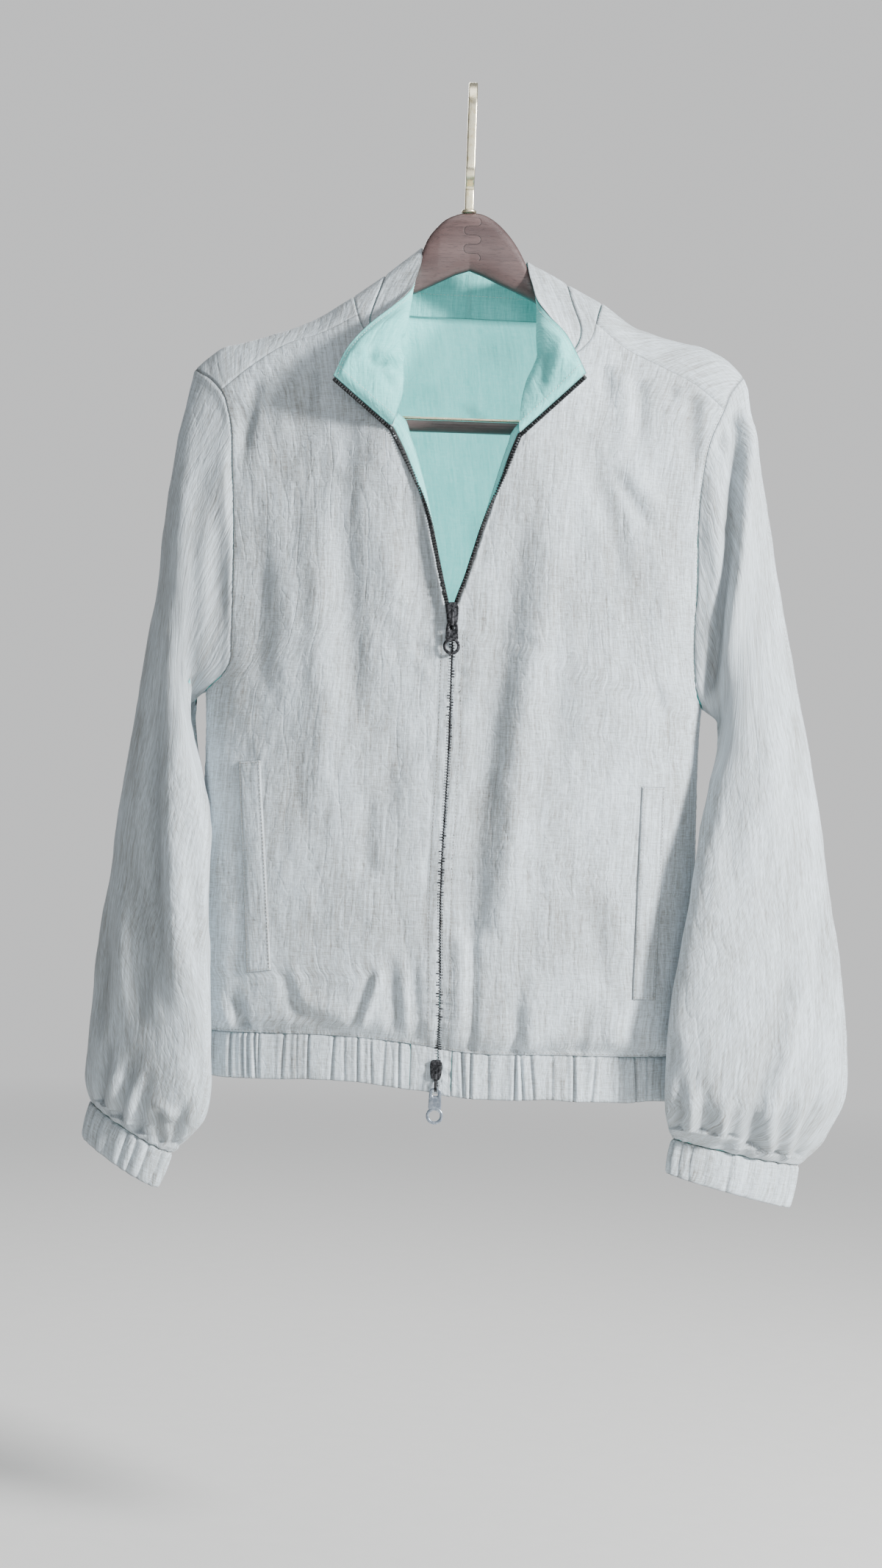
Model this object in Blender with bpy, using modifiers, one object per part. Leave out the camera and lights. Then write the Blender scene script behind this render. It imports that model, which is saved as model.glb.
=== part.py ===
"""Bomber jacket on a clothes hanger: zipped half way, hung by the hanger's brass hook.

Lengths in this file are millimetres and become metres when a mesh is made. X runs to the viewer's
right, -Y towards the viewer (the front), +Z up. The origin is the inner top of the hook, where it
bears on its rail. Cloth panels are walls on one body form: a front and a back sheet with a rounded
crest along the shoulder line.
"""
import math

import bpy
import bmesh
import numpy as np

MM = 0.001
CLOTH = 1.5            # wall of the outer cloth
LINING = 1.0           # wall of the lining
SEAM = 0.2             # each panel's edge is held back by this much, so seams are about 0.4 open
ZIP_HALF = 3.0         # half the zip between the two front edges
BAND_HEIGHT = 37.0
SQUARE = 2.3           # roundness of the body's level sections: 2 is an ellipse

# Body: level, left and right half width, front and back depth from the shoulder plane
BODY = [
    (-140, 236, 246, 40, 50),
    (-200, 236, 246, 42, 50),
    (-250, 236, 246, 46, 48),
    (-320, 234, 242, 52, 46),
    (-400, 222, 228, 56, 45),
    (-500, 206, 209, 58, 44),
    (-600, 204, 207, 58, 44),
    (-700, 206, 209, 58, 45),
    (-752, 206, 209, 57, 46),
    (-776, 200, 203, 51, 42),
    (-790, 192, 195, 44, 38),
    (-850, 192, 195, 44, 38),
]
# Shoulder line seen from the front: x, height of the crest
CREST = [
    (-236, -262), (-229, -247), (-220, -235), (-209, -225), (-173, -213), (-130, -197), (-94, -174),
    (-60, -150), (0, -140), (60, -150), (114, -173), (132, -186), (167, -199), (217, -215),
    (230, -226), (239, -238), (246, -254),
]
CREST_FALL = 45.0      # distance below the crest over which the shoulder opens to its full depth
# Forward shoulder seam from near the neck to the armhole: x, height
YOKE_LEFT = [(-117, -208), (-147, -218), (-176, -238), (-200, -259)]
YOKE_RIGHT = [(133, -213), (163, -227), (194, -242), (217, -260)]
# Armhole seam from the shoulder to the underarm: height, x
ARM_LEFT = [
    (-240, -224), (-248, -211), (-259, -200), (-279, -192), (-324, -187), (-444, -183),
    (-478, -183), (-494, -190), (-507, -205),
]
ARM_RIGHT = [
    (-231, 234), (-245, 223), (-260, 217), (-286, 206), (-324, 199), (-409, 198),
    (-475, 199), (-498, 203), (-507, 207),
]
# Front edge at the zip, from the neck seam to the top of the waistband: height, x
ZIP_LEFT = [
    (-291, -56), (-309, -47), (-361, -29), (-414, -13), (-443, -6), (-470, -4.5), (-538, -4.5),
    (-657, -7), (-776, -4.8), (-840, -5),
]
ZIP_RIGHT = [
    (-293, 46), (-309, 40), (-353, 26), (-407, 10), (-443, 0), (-470, 1.5), (-538, 1.5),
    (-657, -1), (-776, 1.8), (-840, 1.4),
]
# Top of the waistband: x, height
BAND_TOP = [
    (-206, -789), (-100, -786), (-10, -792), (10, -795), (100, -796), (209, -797),
]
BACK_DROP = 7.0        # the back hem hangs lower than the front one

# Collar, from its left front edge round the back to its right front edge: neck seam x, z;
# top edge x, y, z; forward roll of the middle. Stations 6 and 12 lie on the shoulder line.
COLLAR = [
    (-56, -291, -105, -68, -252, 0),
    (-50, -264, -95, -63, -229, 3),
    (-54, -240, -80, -54, -209, 4),
    (-70, -221, -60, -40, -188, 2),
    (-84, -205, -45, -24, -168, 0),
    (-90, -190, -42, -12, -147, 0),
    (-94, -174, -41, 0, -129, 0),
    (-84, -178, -40, 20, -127, 0),
    (-47, -182, -30, 36, -121, 0),
    (5, -183, 6, 42, -118, 0),
    (60, -184, 40, 36, -123, 0),
    (101, -178, 50, 20, -133, 0),
    (114, -173, 53, 0, -137, 0),
    (109, -190, 55, -12, -156, 0),
    (104, -208, 58, -24, -174, 0),
    (86, -226, 68, -40, -191, 2),
    (60, -243, 82, -54, -209, 4),
    (50, -266, 92, -62, -228, 3),
    (46, -293, 99, -68, -243, 0),
]
LEFT_CREST, RIGHT_CREST, NECK_CORNER = 6, 12, 1.2     # stations; the yoke seam meets the neck 1.2 before
# Where the wedge at each side of the neck ends on the collar's height, 0 to 1, by station number
WEDGE_FIRST, WEDGE_LAST, WEDGE_GAP = 3, 15, 0.008
WEDGE = [(2.0, 0.012), (3.0, 0.045), (4.0, 0.14), (5.0, 0.32), (6.0, 0.46), (9.0, 0.46),
         (12.0, 0.46), (13.0, 0.36), (14.0, 0.18), (15.0, 0.045), (16.0, 0.012)]

# Sleeves, from below the armhole to the cuff: outer edge x, y, z; inner edge x, y, z;
# half depth; how far front and back lean towards the body
SLEEVE_LEFT = [
    (-236, -4, -305, -218, -1, -519, 34, 10),
    (-247, 0, -395, -214, -10, -540, 30, 4),
    (-257, 5, -485, -205, -28, -572, 27, 2),
    (-268, 9, -575, -195, -49, -624, 26, 0),
    (-281, 11, -690, -194, -62, -706, 27, 0),
    (-290, 8, -785, -187, -62, -792, 28, 0),
    (-293, 2, -830, -190, -54, -852, 28, 0),
    (-288, 0, -851, -218, -36, -887, 23, 0),
]
SLEEVE_RIGHT = [
    (250, -4, -308, 222, -2, -518, 34, 12),
    (268, -2, -398, 222, -12, -540, 30, 6),
    (286, 2, -485, 215, -30, -572, 28, 2),
    (304, 4, -572, 205, -50, -624, 27, 0),
    (321, 4, -662, 196, -60, -684, 27, 0),
    (334, 0, -750, 187, -60, -756, 28, 0),
    (338, -6, -814, 185, -56, -818, 29, 0),
    (323, -8, -858, 189, -48, -849, 26, 0),
    (300, -10, -883, 193, -38, -861, 18, 0),
]
ARM_GAP = 0.8           # the sleeve starts this far out from the armhole seam
LINING_GAP = 1.3        # between an outer panel and its lining
CREST_ROWS = 3          # rows of the back panel from the yoke seam to the crest, and again behind it
FRONT_ARM_ROWS = 10     # rows of the front panel along the armhole
BACK_ARM_ROWS = 8       # rows of the back panel along the armhole
BACK_SIDE, BACK_MIDDLE = 9, 8   # columns of the back panel at each side of the neck and under it
# Cuff hems: outer edge x, y, z; inner edge x, y, z; half depth
CUFF_LEFT = (-294, 0, -880, -229, -34, -916, 22)
CUFF_RIGHT = (294, -10, -918, 189, -38, -889, 18)
CUFF_FOLDS, CUFF_SEAM = 21, 0.6
BAND_FOLDS = {"waistband_left": 13, "waistband_right": 10, "waistband_back": 24}
FOLD_DEPTH = 1.1
ZIP_THICK = 1.4
# Turn of the zip about its front edge: 0 towards the opening, 1 forward, 2 away from it, as on the
# turned out collar
ZIP_TURN = (2, 2, 2, 1.8, 1.2, 0.6, 0)
ZIP_RISE = 0.6          # and how far that twisted stretch stands in front of the cloth

# Pocket welts: top inner x, z; top outer x, z; bottom outer x, z; bottom inner x, z
WELT_LEFT = ((-154, -563), (-173, -565), (-160, -737), (-139, -734))
WELT_RIGHT = ((157, -574), (177, -574), (175, -748), (155, -748))

# Hanger
ARM_PROFILE = [   # x, top of the wood in the open neck, under edge, half thickness
    (-206, -224, -291, 8), (-187.4, -219, -292, 11), (-186, -218.5, -258, 11), (-160, -210, -240, 12),
    (-128, -199, -223, 11), (-96, -186, -199, 9), (-72, -174, -187, 7), (-56, -162, -176, 6.5),
    (-47, -154, -171, 6.5), (-41.5, -147, -169, 6), (-37.5, -133, -167, 6), (-24, -111, -160, 7),
    (-10, -102.5, -153, 7),
    (2, -100.5, -149, 7), (14, -102.5, -153.5, 7), (27, -111, -159.5, 7), (42, -129, -166, 6.5),
    (52, -147, -170.5, 6.5), (64, -163, -177, 6.5), (86, -179, -190, 7), (112, -187, -202, 9),
    (134, -195, -219, 11), (166, -204, -240, 12), (190, -210, -258, 11), (191.4, -210.5, -292, 11),
    (211, -217, -291, 8),
]
ARM_REST = 124.0      # beyond this distance from the middle the shoulders rest on the wood
REST_GAP = 1.1
BAR_Z, BAR_RADIUS, BAR_LEFT, BAR_RIGHT = -279.5, 5.0, -186.3, 190.3
ROD_RADIUS = 1.3
HOOK_RADIUS, HOOK_BAR, HOOK_EDGE = 18.0, 7.5, 0.6
HOOK_FOOT = -100.0
BEND, BEND_FOOT = 8.0, -91.0

# Zip sliders: height of the slider's top, its length, bail length, height of the pull's pin
UPPER = {"x": -2.0, "top": -430.0, "body": 20.0, "bail": 11.0, "pin": -447.0, "pull": 26.0}
LOWER = {"x": -2.6, "top": -802.0, "body": 17.0, "bail": 18.0, "pin": -825.5, "pull": 29.0}
SLIDER_PLATE, SLIDER_HALF = 2.2, 5.6
BAIL_HALF, BAIL_RISE, BAIL_BAR = 1.2, 2.3, 1.2    # bridge over the pull's pin: half width, gap, thickness
PULL_WIDTH, PULL_THICK, PULL_HOLE = 14.0, 1.5, 4.4
PIN_RADIUS, SLOT_HALF = 0.75, 2.3

STONE = (0.62, 0.60, 0.56, 1)
MINT = (0.42, 0.64, 0.55, 1)
WALNUT = (0.10, 0.05, 0.04, 1)
BRASS = (0.72, 0.60, 0.34, 1)
GUNMETAL = (0.20, 0.20, 0.20, 1)


def through(rows, column, at):
    """Smooth curve through a table: cubic pieces, each row's slope taken from its neighbours."""
    table = np.array(rows, dtype=float)
    x, y = table[:, 0], table[:, column]
    if x[0] > x[-1]:
        x, y = x[::-1], y[::-1]
    step = np.diff(x)
    chord = np.diff(y) / step
    slope = np.empty_like(y)
    slope[0], slope[-1] = chord[0], chord[-1]
    slope[1:-1] = (chord[:-1] * step[1:] + chord[1:] * step[:-1]) / (step[:-1] + step[1:])
    slope[1:-1] = np.where(chord[:-1] * chord[1:] <= 0, 0, slope[1:-1])
    at = np.clip(np.asarray(at, dtype=float), x[0], x[-1])
    i = np.clip(np.searchsorted(x, at) - 1, 0, len(step) - 1)
    t = (at - x[i]) / step[i]
    h = step[i]
    return ((2 * t**3 - 3 * t**2 + 1) * y[i] + (t**3 - 2 * t**2 + t) * h * slope[i]
            + (3 * t**2 - 2 * t**3) * y[i + 1] + (t**3 - t**2) * h * slope[i + 1])


def ease(t):
    """0 below 0, 1 above 1, with level ends."""
    t = np.clip(t, 0, 1)
    return t * t * (3 - 2 * t)


def band_top(x, back=0.0):
    """Height of the seam between body and waistband."""
    return through(BAND_TOP, 1, x) - BACK_DROP * back * np.clip(1 - (np.abs(x) / 205)**4, 0, 1)


def depth(x, z, side):
    """Distance of the body from the shoulder plane: a squared oval level section, side -1 front, +1 back."""
    low = ease((-z - 650) / 140)
    z = z - (band_top(x, side > 0) + 790) * low
    half = np.where(x < 0, through(BODY, 1, z), through(BODY, 2, z))
    deep = through(BODY, 3 if side < 0 else 4, z)
    level = np.clip(1 - (np.abs(x) / half)**SQUARE, 0, 1)**(1 / SQUARE)
    return deep * level


def crest_share(x, z):
    """0 on the shoulder line, rising with a round top towards 1: the root of 1 - exp(-fall)."""
    fall = np.maximum(through(CREST, 1, x) - z, 0) / CREST_FALL
    return np.sqrt(1 - np.exp(-fall))


def lapel_lift(x, z):
    """How far the open fronts swing forward beside the neck."""
    return 13 * np.exp(-((np.abs(x + 4) - 52) / 48)**2) * ease((z + 430) / 130) * ease((-z - 205) / 60)


def body_point(x, z, side):
    """Point of the body's outer face at x and z."""
    y = side * depth(x, z, side) * crest_share(x, z)
    if side < 0:
        y = y - lapel_lift(x, z)
    return np.stack([x, y, z], axis=-1)


def body_normal(x, z, side):
    """Outward normal of the body form, from small steps along x and down; level on the crest."""
    x, z = np.asarray(x, dtype=float), np.asarray(z, dtype=float)
    here = body_point(x, z, side)
    across = body_point(x + 0.5, z, side) - body_point(x - 0.5, z, side)
    down = body_point(x, z - 0.5, side) - here
    n = np.cross(across, down) * side
    n = n / np.maximum(np.linalg.norm(n, axis=-1, keepdims=True), 1e-9)
    slope = (through(CREST, 1, x + 0.5) - through(CREST, 1, x - 0.5))
    up = np.stack([-slope, 0 * x, 0 * x + 1.0], axis=-1)
    up = up / np.linalg.norm(up, axis=-1, keepdims=True)
    near = np.clip(1 - (through(CREST, 1, x) - z) / 4.0, 0, 1)[..., None]
    n = n * (1 - near) + up * near
    return n / np.linalg.norm(n, axis=-1, keepdims=True)


def inset(grid, sides, gap=SEAM):
    """Hold the named edges of a grid back by gap: t, b are the first and last row, l, r the columns."""
    grid = grid.copy()
    for side in sides:
        edge, inner = {"t": (np.s_[0], np.s_[1]), "b": (np.s_[-1], np.s_[-2]),
                       "l": (np.s_[:, 0], np.s_[:, 1]), "r": (np.s_[:, -1], np.s_[:, -2])}[side]
        way = grid[inner] - grid[edge]
        length = np.maximum(np.linalg.norm(way, axis=-1, keepdims=True), 1e-6)
        grid[edge] = grid[edge] + way / length * np.minimum(gap, length * 0.5)
    return grid


def normals(grid, closed):
    """Unit normals of a grid: across the row direction and the column direction."""
    if closed:
        wide = np.concatenate([grid[:, -2:-1], grid, grid[:, 1:2]], axis=1)
        along = (wide[:, 2:] - wide[:, :-2])
    else:
        along = np.gradient(grid, axis=1)
    down = np.gradient(grid, axis=0)
    n = np.cross(along, down)
    return n / np.maximum(np.linalg.norm(n, axis=-1, keepdims=True), 1e-9)


def add_mesh(name, verts, faces, material, smooth=True):
    """New object from points in millimetres."""
    mesh = bpy.data.meshes.new(name)
    mesh.from_pydata((np.asarray(verts) * MM).tolist(), [], faces)
    bm = bmesh.new()
    bm.from_mesh(mesh)
    bmesh.ops.recalc_face_normals(bm, faces=bm.faces)
    bm.to_mesh(mesh)
    bm.free()
    mesh.materials.append(material)
    if smooth:
        mesh.shade_smooth()
        mesh.set_sharp_from_angle(angle=math.radians(40))
    obj = bpy.data.objects.new(name, mesh)
    bpy.data.collections["bomber_jacket"].objects.link(obj)
    return obj


def wall(name, face, thick, material, flip=1, mask=None, closed=False, shift=0.0, normal=None):
    """Cloth wall: the grid is its outer face and the inner face lies thick behind it along the normals.

    flip turns the normals outwards, mask leaves grid cells out, closed joins the last column to the
    first, and shift moves the whole wall inwards.
    """
    n = normals(face, closed) * flip if normal is None else normal
    outer, inner = face - n * shift, face - n * (shift + thick)
    rows, cols = face.shape[:2]
    if closed:
        outer, inner, cols = outer[:, :-1], inner[:, :-1], cols - 1
    cells = np.ones((rows - 1, cols if closed else cols - 1), bool) if mask is None else mask
    points = np.concatenate([outer.reshape(-1, 3), inner.reshape(-1, 3)])
    half = rows * cols

    def at(r, c):
        return r * cols + c % cols

    faces = []
    for r, c in np.argwhere(cells):
        a, b, d, e = at(r, c), at(r, c + 1), at(r + 1, c + 1), at(r + 1, c)
        faces += [(a, b, d), (a, d, e), (a + half, d + half, b + half), (a + half, e + half, d + half)]
        wide = cells.shape[1]
        for rr, cc, p, q in ((r - 1, c, a, b), (r + 1, c, d, e), (r, c - 1, e, a), (r, c + 1, b, d)):
            if closed:
                cc %= wide
            if not (0 <= rr < cells.shape[0] and 0 <= cc < wide) or not cells[rr, cc]:
                faces.append((q, p, p + half, q + half))
    used = np.unique(np.array([i for f in faces for i in f]))
    place = {int(u): k for k, u in enumerate(used)}
    faces = [tuple(place[i] for i in f) for f in faces]
    return add_mesh(name, points[used], faces, material)


def material(name, colour, rough, metal=0.0):
    """Plain material with the piece's own colour."""
    m = bpy.data.materials.new(name)
    m.use_nodes = True
    bsdf = m.node_tree.nodes["Principled BSDF"]
    bsdf.inputs["Base Color"].default_value = colour
    bsdf.inputs["Roughness"].default_value = rough
    bsdf.inputs["Metallic"].default_value = metal
    return m


def arm_x(side, z):
    """Armhole seam seen from the front."""
    return through(ARM_LEFT if side < 0 else ARM_RIGHT, 1, z)


def zip_x(side, z):
    """Front edge of the cloth beside the zip."""
    return through(ZIP_LEFT if side < 0 else ZIP_RIGHT, 1, z)


def neck_point(s):
    """Neck seam on the body form at station s: in front of the crest, on it or behind it."""
    rows = [(k,) + r for k, r in enumerate(COLLAR)]
    s = np.asarray(s, dtype=float)
    x, z = through(rows, 1, s), through(rows, 2, s)
    behind = (s > LEFT_CREST) & (s < RIGHT_CREST)
    return np.where(behind[..., None], body_point(x, z, 1), body_point(x, z, -1))


def neck_station(side, t):
    """Station of the front part of the neck seam: t 0 at the yoke seam, then five steps to the zip."""
    steps = [(0, 4.8), (0.2, 4), (0.4, 3), (0.6, 2), (0.8, 1), (1, 0)]
    s = np.interp(t, [a for a, b in steps], [b for a, b in steps])
    return s if side < 0 else len(COLLAR) - 1 - s


def yoke(side):
    """Forward shoulder seam, from its corner on the neck seam to the armhole."""
    corner = neck_point(neck_station(side, 0.0))
    return [(float(corner[0]), float(corner[2]))] + (YOKE_LEFT if side < 0 else YOKE_RIGHT)


def front_grid(side, cols=9, rows=23):
    """Front panel: rows run from the neck seam or zip edge to the armhole or side seam.

    The first row is the yoke seam; each lower row is a straight line in the front view between the
    inner and the outer edge, and its curve from front to back is the body form.
    """
    arm = ARM_LEFT if side < 0 else ARM_RIGHT
    seam = yoke(side)
    corner, under = seam[-1][1], arm[-1][0]
    zip_top = (ZIP_LEFT if side < 0 else ZIP_RIGHT)[0][0]
    v = np.linspace(0, 1, rows + 1)
    neck_rows = 5 / rows
    neck = neck_point(neck_station(side, v / neck_rows))
    neck_x, neck_z = neck[:, 0], neck[:, 2]
    hem = band_top(side * 8.0) + SEAM
    edge_z = np.where(v < neck_rows, neck_z, zip_top + (hem - zip_top) * (v - neck_rows) / (1 - neck_rows))
    edge_x = np.where(v < neck_rows, neck_x, zip_x(side, edge_z))
    arm_rows = FRONT_ARM_ROWS / rows
    low_end = band_top(side * 195.0)
    drop = (v - arm_rows) / (1 - arm_rows)
    side_z = np.where(v < arm_rows, corner + (under - corner) * arm_share(v / arm_rows),
                      under + (low_end - under) * drop)
    seam_x = side * half_width(side, side_z)
    side_x = np.where(v < arm_rows, arm_x(side, side_z), seam_x)
    q = np.linspace(0, 1, cols + 1)[None, :]
    turn = ease((v - arm_rows + 0.16) / 0.2)[:, None]
    share = q * (1 - turn) + np.sin(q * math.pi / 2) * turn
    x = edge_x[:, None] + (side_x - edge_x)[:, None] * share
    z = edge_z[:, None] + (side_z - edge_z)[:, None] * share
    straight = seam[0][1] + (seam[-1][1] - seam[0][1]) * share[0]
    curve = through(seam, 1, x[0]) - straight
    z = z + curve[None, :] * np.clip(1 - v / 0.12, 0, 1)[:, None]
    low = ease((v - 0.8) / 0.2)[:, None]
    z = z + low * (band_top(x) - z[-1:, :]) * 1.0
    return body_point(x, z, -1)


def half_width(side, z):
    """Half width of the body at its side seam."""
    low = ease((-z - 650) / 140)
    z = z - (band_top(side * 200.0) + 790) * low
    return through(BODY, 1 if side < 0 else 2, z) - 0.02


def back_grid(left=BACK_SIDE, middle=BACK_MIDDLE, down=17):
    """Back panel, one piece that wraps over both shoulders to the forward shoulder seams.

    Rows run across from armhole to armhole. The first rows climb from the yoke seam over the crest,
    with the neck left out of the middle columns, and the rest go down the back. A row's drop below
    the crest is the square of its turn times the yoke seam's drop, so the crest itself is a row.
    """
    over = 2 * CREST_ROWS
    rows, cols = over + down + 1, 2 * left + middle + 1
    grid = np.zeros((rows, cols, 3))
    u = np.linspace(0, 1, left + 1)
    for side, span in ((-1, np.arange(0, left + 1)), (1, np.arange(cols - 1, cols - left - 2, -1))):
        seam = yoke(side)
        seam_x = seam[-1][0] + (seam[0][0] - seam[-1][0]) * u
        full = through(CREST, 1, seam_x) - through(seam, 1, seam_x)
        for r in range(over + 1):
            turn = 1 - r / CREST_ROWS
            inner = neck_point(back_neck_station(side, turn))
            arm_z = arm_over(side, turn)
            arm = float(arm_x(side, arm_z))
            xs = arm + (inner[0] - arm) * u
            drop = full * turn**2
            drop = drop + (through(CREST, 1, inner[0]) - inner[2] - drop[-1]) * u**3
            drop = drop + (through(CREST, 1, arm) - arm_z - drop[0]) * (1 - u)**3
            grid[r, span] = body_point(xs, through(CREST, 1, xs) - drop, -1 if turn > 0 else 1)
    mid = np.arange(left, cols - left)
    for r in range(over + 1):
        keep = grid[r, [mid[0], mid[-1]]].copy()
        grid[r, mid] = neck_point(np.linspace(LEFT_CREST + 1, RIGHT_CREST - 1, len(mid)))
        grid[r, [mid[0], mid[-1]]] = keep
    start_x, start_z = grid[over, :, 0].copy(), grid[over, :, 2].copy()
    spread = np.linspace(-1, 1, cols)
    arm_part = BACK_ARM_ROWS / down
    for r in range(1, down + 1):
        t = r / down
        ends = []
        for side, z0 in ((-1, start_z[0]), (1, start_z[-1])):
            under = (ARM_LEFT if side < 0 else ARM_RIGHT)[-1][0]
            hem = float(band_top(side * 200.0, 1))
            if r <= BACK_ARM_ROWS:
                z = z0 + (under - z0) * arm_share(t / arm_part)
                ends.append((float(arm_x(side, z)) if r < BACK_ARM_ROWS else side * half_width(side, z), z))
            else:
                z = under + (hem - under) * (t - arm_part) / (1 - arm_part)
                ends.append((side * half_width(side, z), z))
        turn = ease((t - arm_part + 0.16) / 0.2)
        share = spread * (1 - turn) + np.sin(spread * math.pi / 2) * turn
        (xl, zl), (xr, zr) = ends
        wide = (xl + xr) / 2 + (xr - xl) / 2 * share
        keep = 1 - ease(t / 0.45)
        scale = np.where(spread < 0, xl / start_x[0], xr / start_x[-1])
        xs = wide * (1 - keep) + keep * start_x * scale
        middle_z = start_z + (band_top(xs, 1) - start_z) * t
        edge_z = zl + (zr - zl) * (share + 1) / 2
        bend = np.abs(share)**3
        zs = edge_z * bend + middle_z * (1 - bend)
        if r == down:
            zs = band_top(xs, 1) + SEAM
        xs[0], xs[-1] = xl, xr
        grid[over + r] = body_point(xs, zs, 1)
    mask = np.ones((rows - 1, cols - 1), bool)
    mask[:over, left:cols - 1 - left] = False
    return grid, mask


def arm_over(side, turn):
    """Height on the armhole where it passes over the shoulder: turn 1 at the yoke seam, 0 on top."""
    top = (ARM_LEFT if side < 0 else ARM_RIGHT)[0][0]
    corner = (YOKE_LEFT if side < 0 else YOKE_RIGHT)[-1][1]
    return top + (corner - top) * turn**2


def back_neck_station(side, turn):
    """Neck station of the back panel's row: the yoke corner, over the crest, to just behind it."""
    s = LEFT_CREST - (NECK_CORNER * turn if turn > 0 else turn)
    return s if side < 0 else len(COLLAR) - 1 - s


def armhole(side):
    """Armhole seam points, as the panels have them: from the top down the front, then up the back."""
    over = [arm_over(side, t / CREST_ROWS) for t in range(CREST_ROWS + 1)]
    under = (ARM_LEFT if side < 0 else ARM_RIGHT)[-1][0]
    front, back = (np.concatenate([over, over[-1] + (under - over[-1]) * arm_share(np.arange(1, n + 1) / n)])
                   for n in (FRONT_ARM_ROWS, BACK_ARM_ROWS))
    z = np.concatenate([front, back[-2::-1]])
    x = arm_x(side, z)
    ahead = np.arange(len(z)) < len(front)
    ring = np.where(ahead[:, None], body_point(x, z, -1), body_point(x, z, 1))
    ring[len(front) - 1] = [side * half_width(side, under), 0, under]
    angle = np.arccos(np.clip(1 - 2 * (over[0] - z) / (over[0] - under), -1, 1))
    angle = np.where(ahead, angle, 2 * math.pi - angle)
    normal = np.where(ahead[:, None], body_normal(x, z, -1), body_normal(x, z, 1))
    return ring, angle, normal


def arm_share(t):
    """Spacing of the armhole rows: they close up towards the underarm, half even and half as the sine."""
    t = np.clip(t, 0, 1)
    return (t + np.sin(t * math.pi / 2)) / 2


def collar_point(s, t):
    """Collar's outer face: s counts the stations of COLLAR, t is 0 at the neck seam and 1 at the top edge."""
    rows = [(k,) + r for k, r in enumerate(COLLAR)]
    base = neck_point(s)
    top = np.stack([through(rows, c, s) for c in (3, 4, 5)], axis=-1)
    t = np.asarray(t)[..., None]
    roll = through(rows, 6, s)[..., None] * np.sin(math.pi * t)
    return base + (top - base) * t - roll * np.array([0, 1.0, 0])


def collar_stations(first=0, last=18):
    """Stations where the panels below have a point on the neck seam."""
    side = [back_neck_station(-1, 1 - r / CREST_ROWS) for r in range(2 * CREST_ROWS + 1)]
    half = [0, 1, 2, 3, 4] + side + [7.5, 8, 8.5, 9]
    full = np.array(half + [len(COLLAR) - 1 - s for s in half[-2::-1]])
    return full[(full >= first) & (full <= last)]


def collar_grid(part):
    """Grid on the collar, from its top edge down.

    part is the collar above the wedge, the wedge, or the lining of both. All three share their stations and rows, so that the lining keeps its distance from the two.
    """
    s = collar_stations(WEDGE_FIRST, WEDGE_LAST) if part == "wedge" else collar_stations()
    edge = through(WEDGE, 1, s)[None, :]
    low = 0.25 * np.minimum(edge, 0.045)
    upper = edge + WEDGE_GAP + (1 - edge - WEDGE_GAP) * np.array([[1], [0.75], [0.5], [0.25], [0]])
    lower = low + (edge - WEDGE_GAP * np.minimum(edge / 0.045, 1) * 0.9 - low) * np.array([[1], [0.5], [0]])
    rows = {"collar": upper, "wedge": lower, "lining": np.concatenate([upper[:4], lower])}[part]
    return collar_point(s[None, :] * np.ones((len(rows), 1)), rows)


def sleeve_rings(side):
    """Sleeve: a tube from the armhole seam to the cuff, each ring an oval between its two edges.

    A ring point is centre + half span * cos + half depth * sin, leaning towards the body by sin squared.
    """
    table = SLEEVE_LEFT if side < 0 else SLEEVE_RIGHT
    ring, angle, _ = armhole(side)
    rings = [ring + np.array([side * ARM_GAP, 0, -0.3])]
    for row in table:
        rings.append(oval(row[0:3], row[3:6], row[6], row[7] * -side, angle))
    return np.array(rings)


def sleeve_normals(side, grid):
    """Normals of the sleeve, turned to those of the shoulder where the sleeve head meets it."""
    n = normals(grid, True) * side
    _, angle, shoulder = armhole(side)
    share = ease((np.cos(angle) + 0.5) / 1.0)[:, None]
    n[0] = n[0] * (1 - share) + shoulder * share
    n[1] = n[1] * (1 - share * 0.5) + shoulder * share * 0.5
    return n / np.linalg.norm(n, axis=-1, keepdims=True)


def oval(outer, inner, deep, lean, angle):
    """Oval ring between an outer and an inner edge point, front at 90 degrees."""
    outer, inner = np.array(outer, float), np.array(inner, float)
    centre, span = (outer + inner) / 2, (outer - inner) / 2
    unit = span / np.linalg.norm(span)
    front = np.array([0, -1.0, 0])
    front = front - unit * front.dot(unit)
    front /= np.linalg.norm(front)
    c, s = np.cos(angle)[:, None], np.sin(angle)[:, None]
    return centre + span * c + front * deep * s + np.array([lean, 0, 0]) * s**2


def sleeve_grid(side, along=12):
    """Sleeve rings smoothed along the arm."""
    rings = sleeve_rings(side)
    rows = np.arange(len(rings))
    at = np.linspace(0, len(rings) - 1, along + 1)
    flat = rings.reshape(len(rings), -1)
    table = np.column_stack([rows, flat])
    grid = np.stack([through(table, c + 1, at) for c in range(flat.shape[1])], axis=-1)
    return grid.reshape(along + 1, -1, 3)


def folded(rows, centre, folds, columns, deep):
    """Add gathers to a closed or open strip of rows: points move in and out from the centre line."""
    phase = np.linspace(0, 2 * math.pi * folds, columns + 1)
    uneven = 0.75 + 0.25 * np.sin(phase * 0.37 + 1.3)
    wave = np.cos(phase) * uneven * deep
    out = rows - centre
    out[..., 2] = 0
    out /= np.maximum(np.linalg.norm(out, axis=-1, keepdims=True), 1e-6)
    return rows + out * wave[None, :, None]


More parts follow.
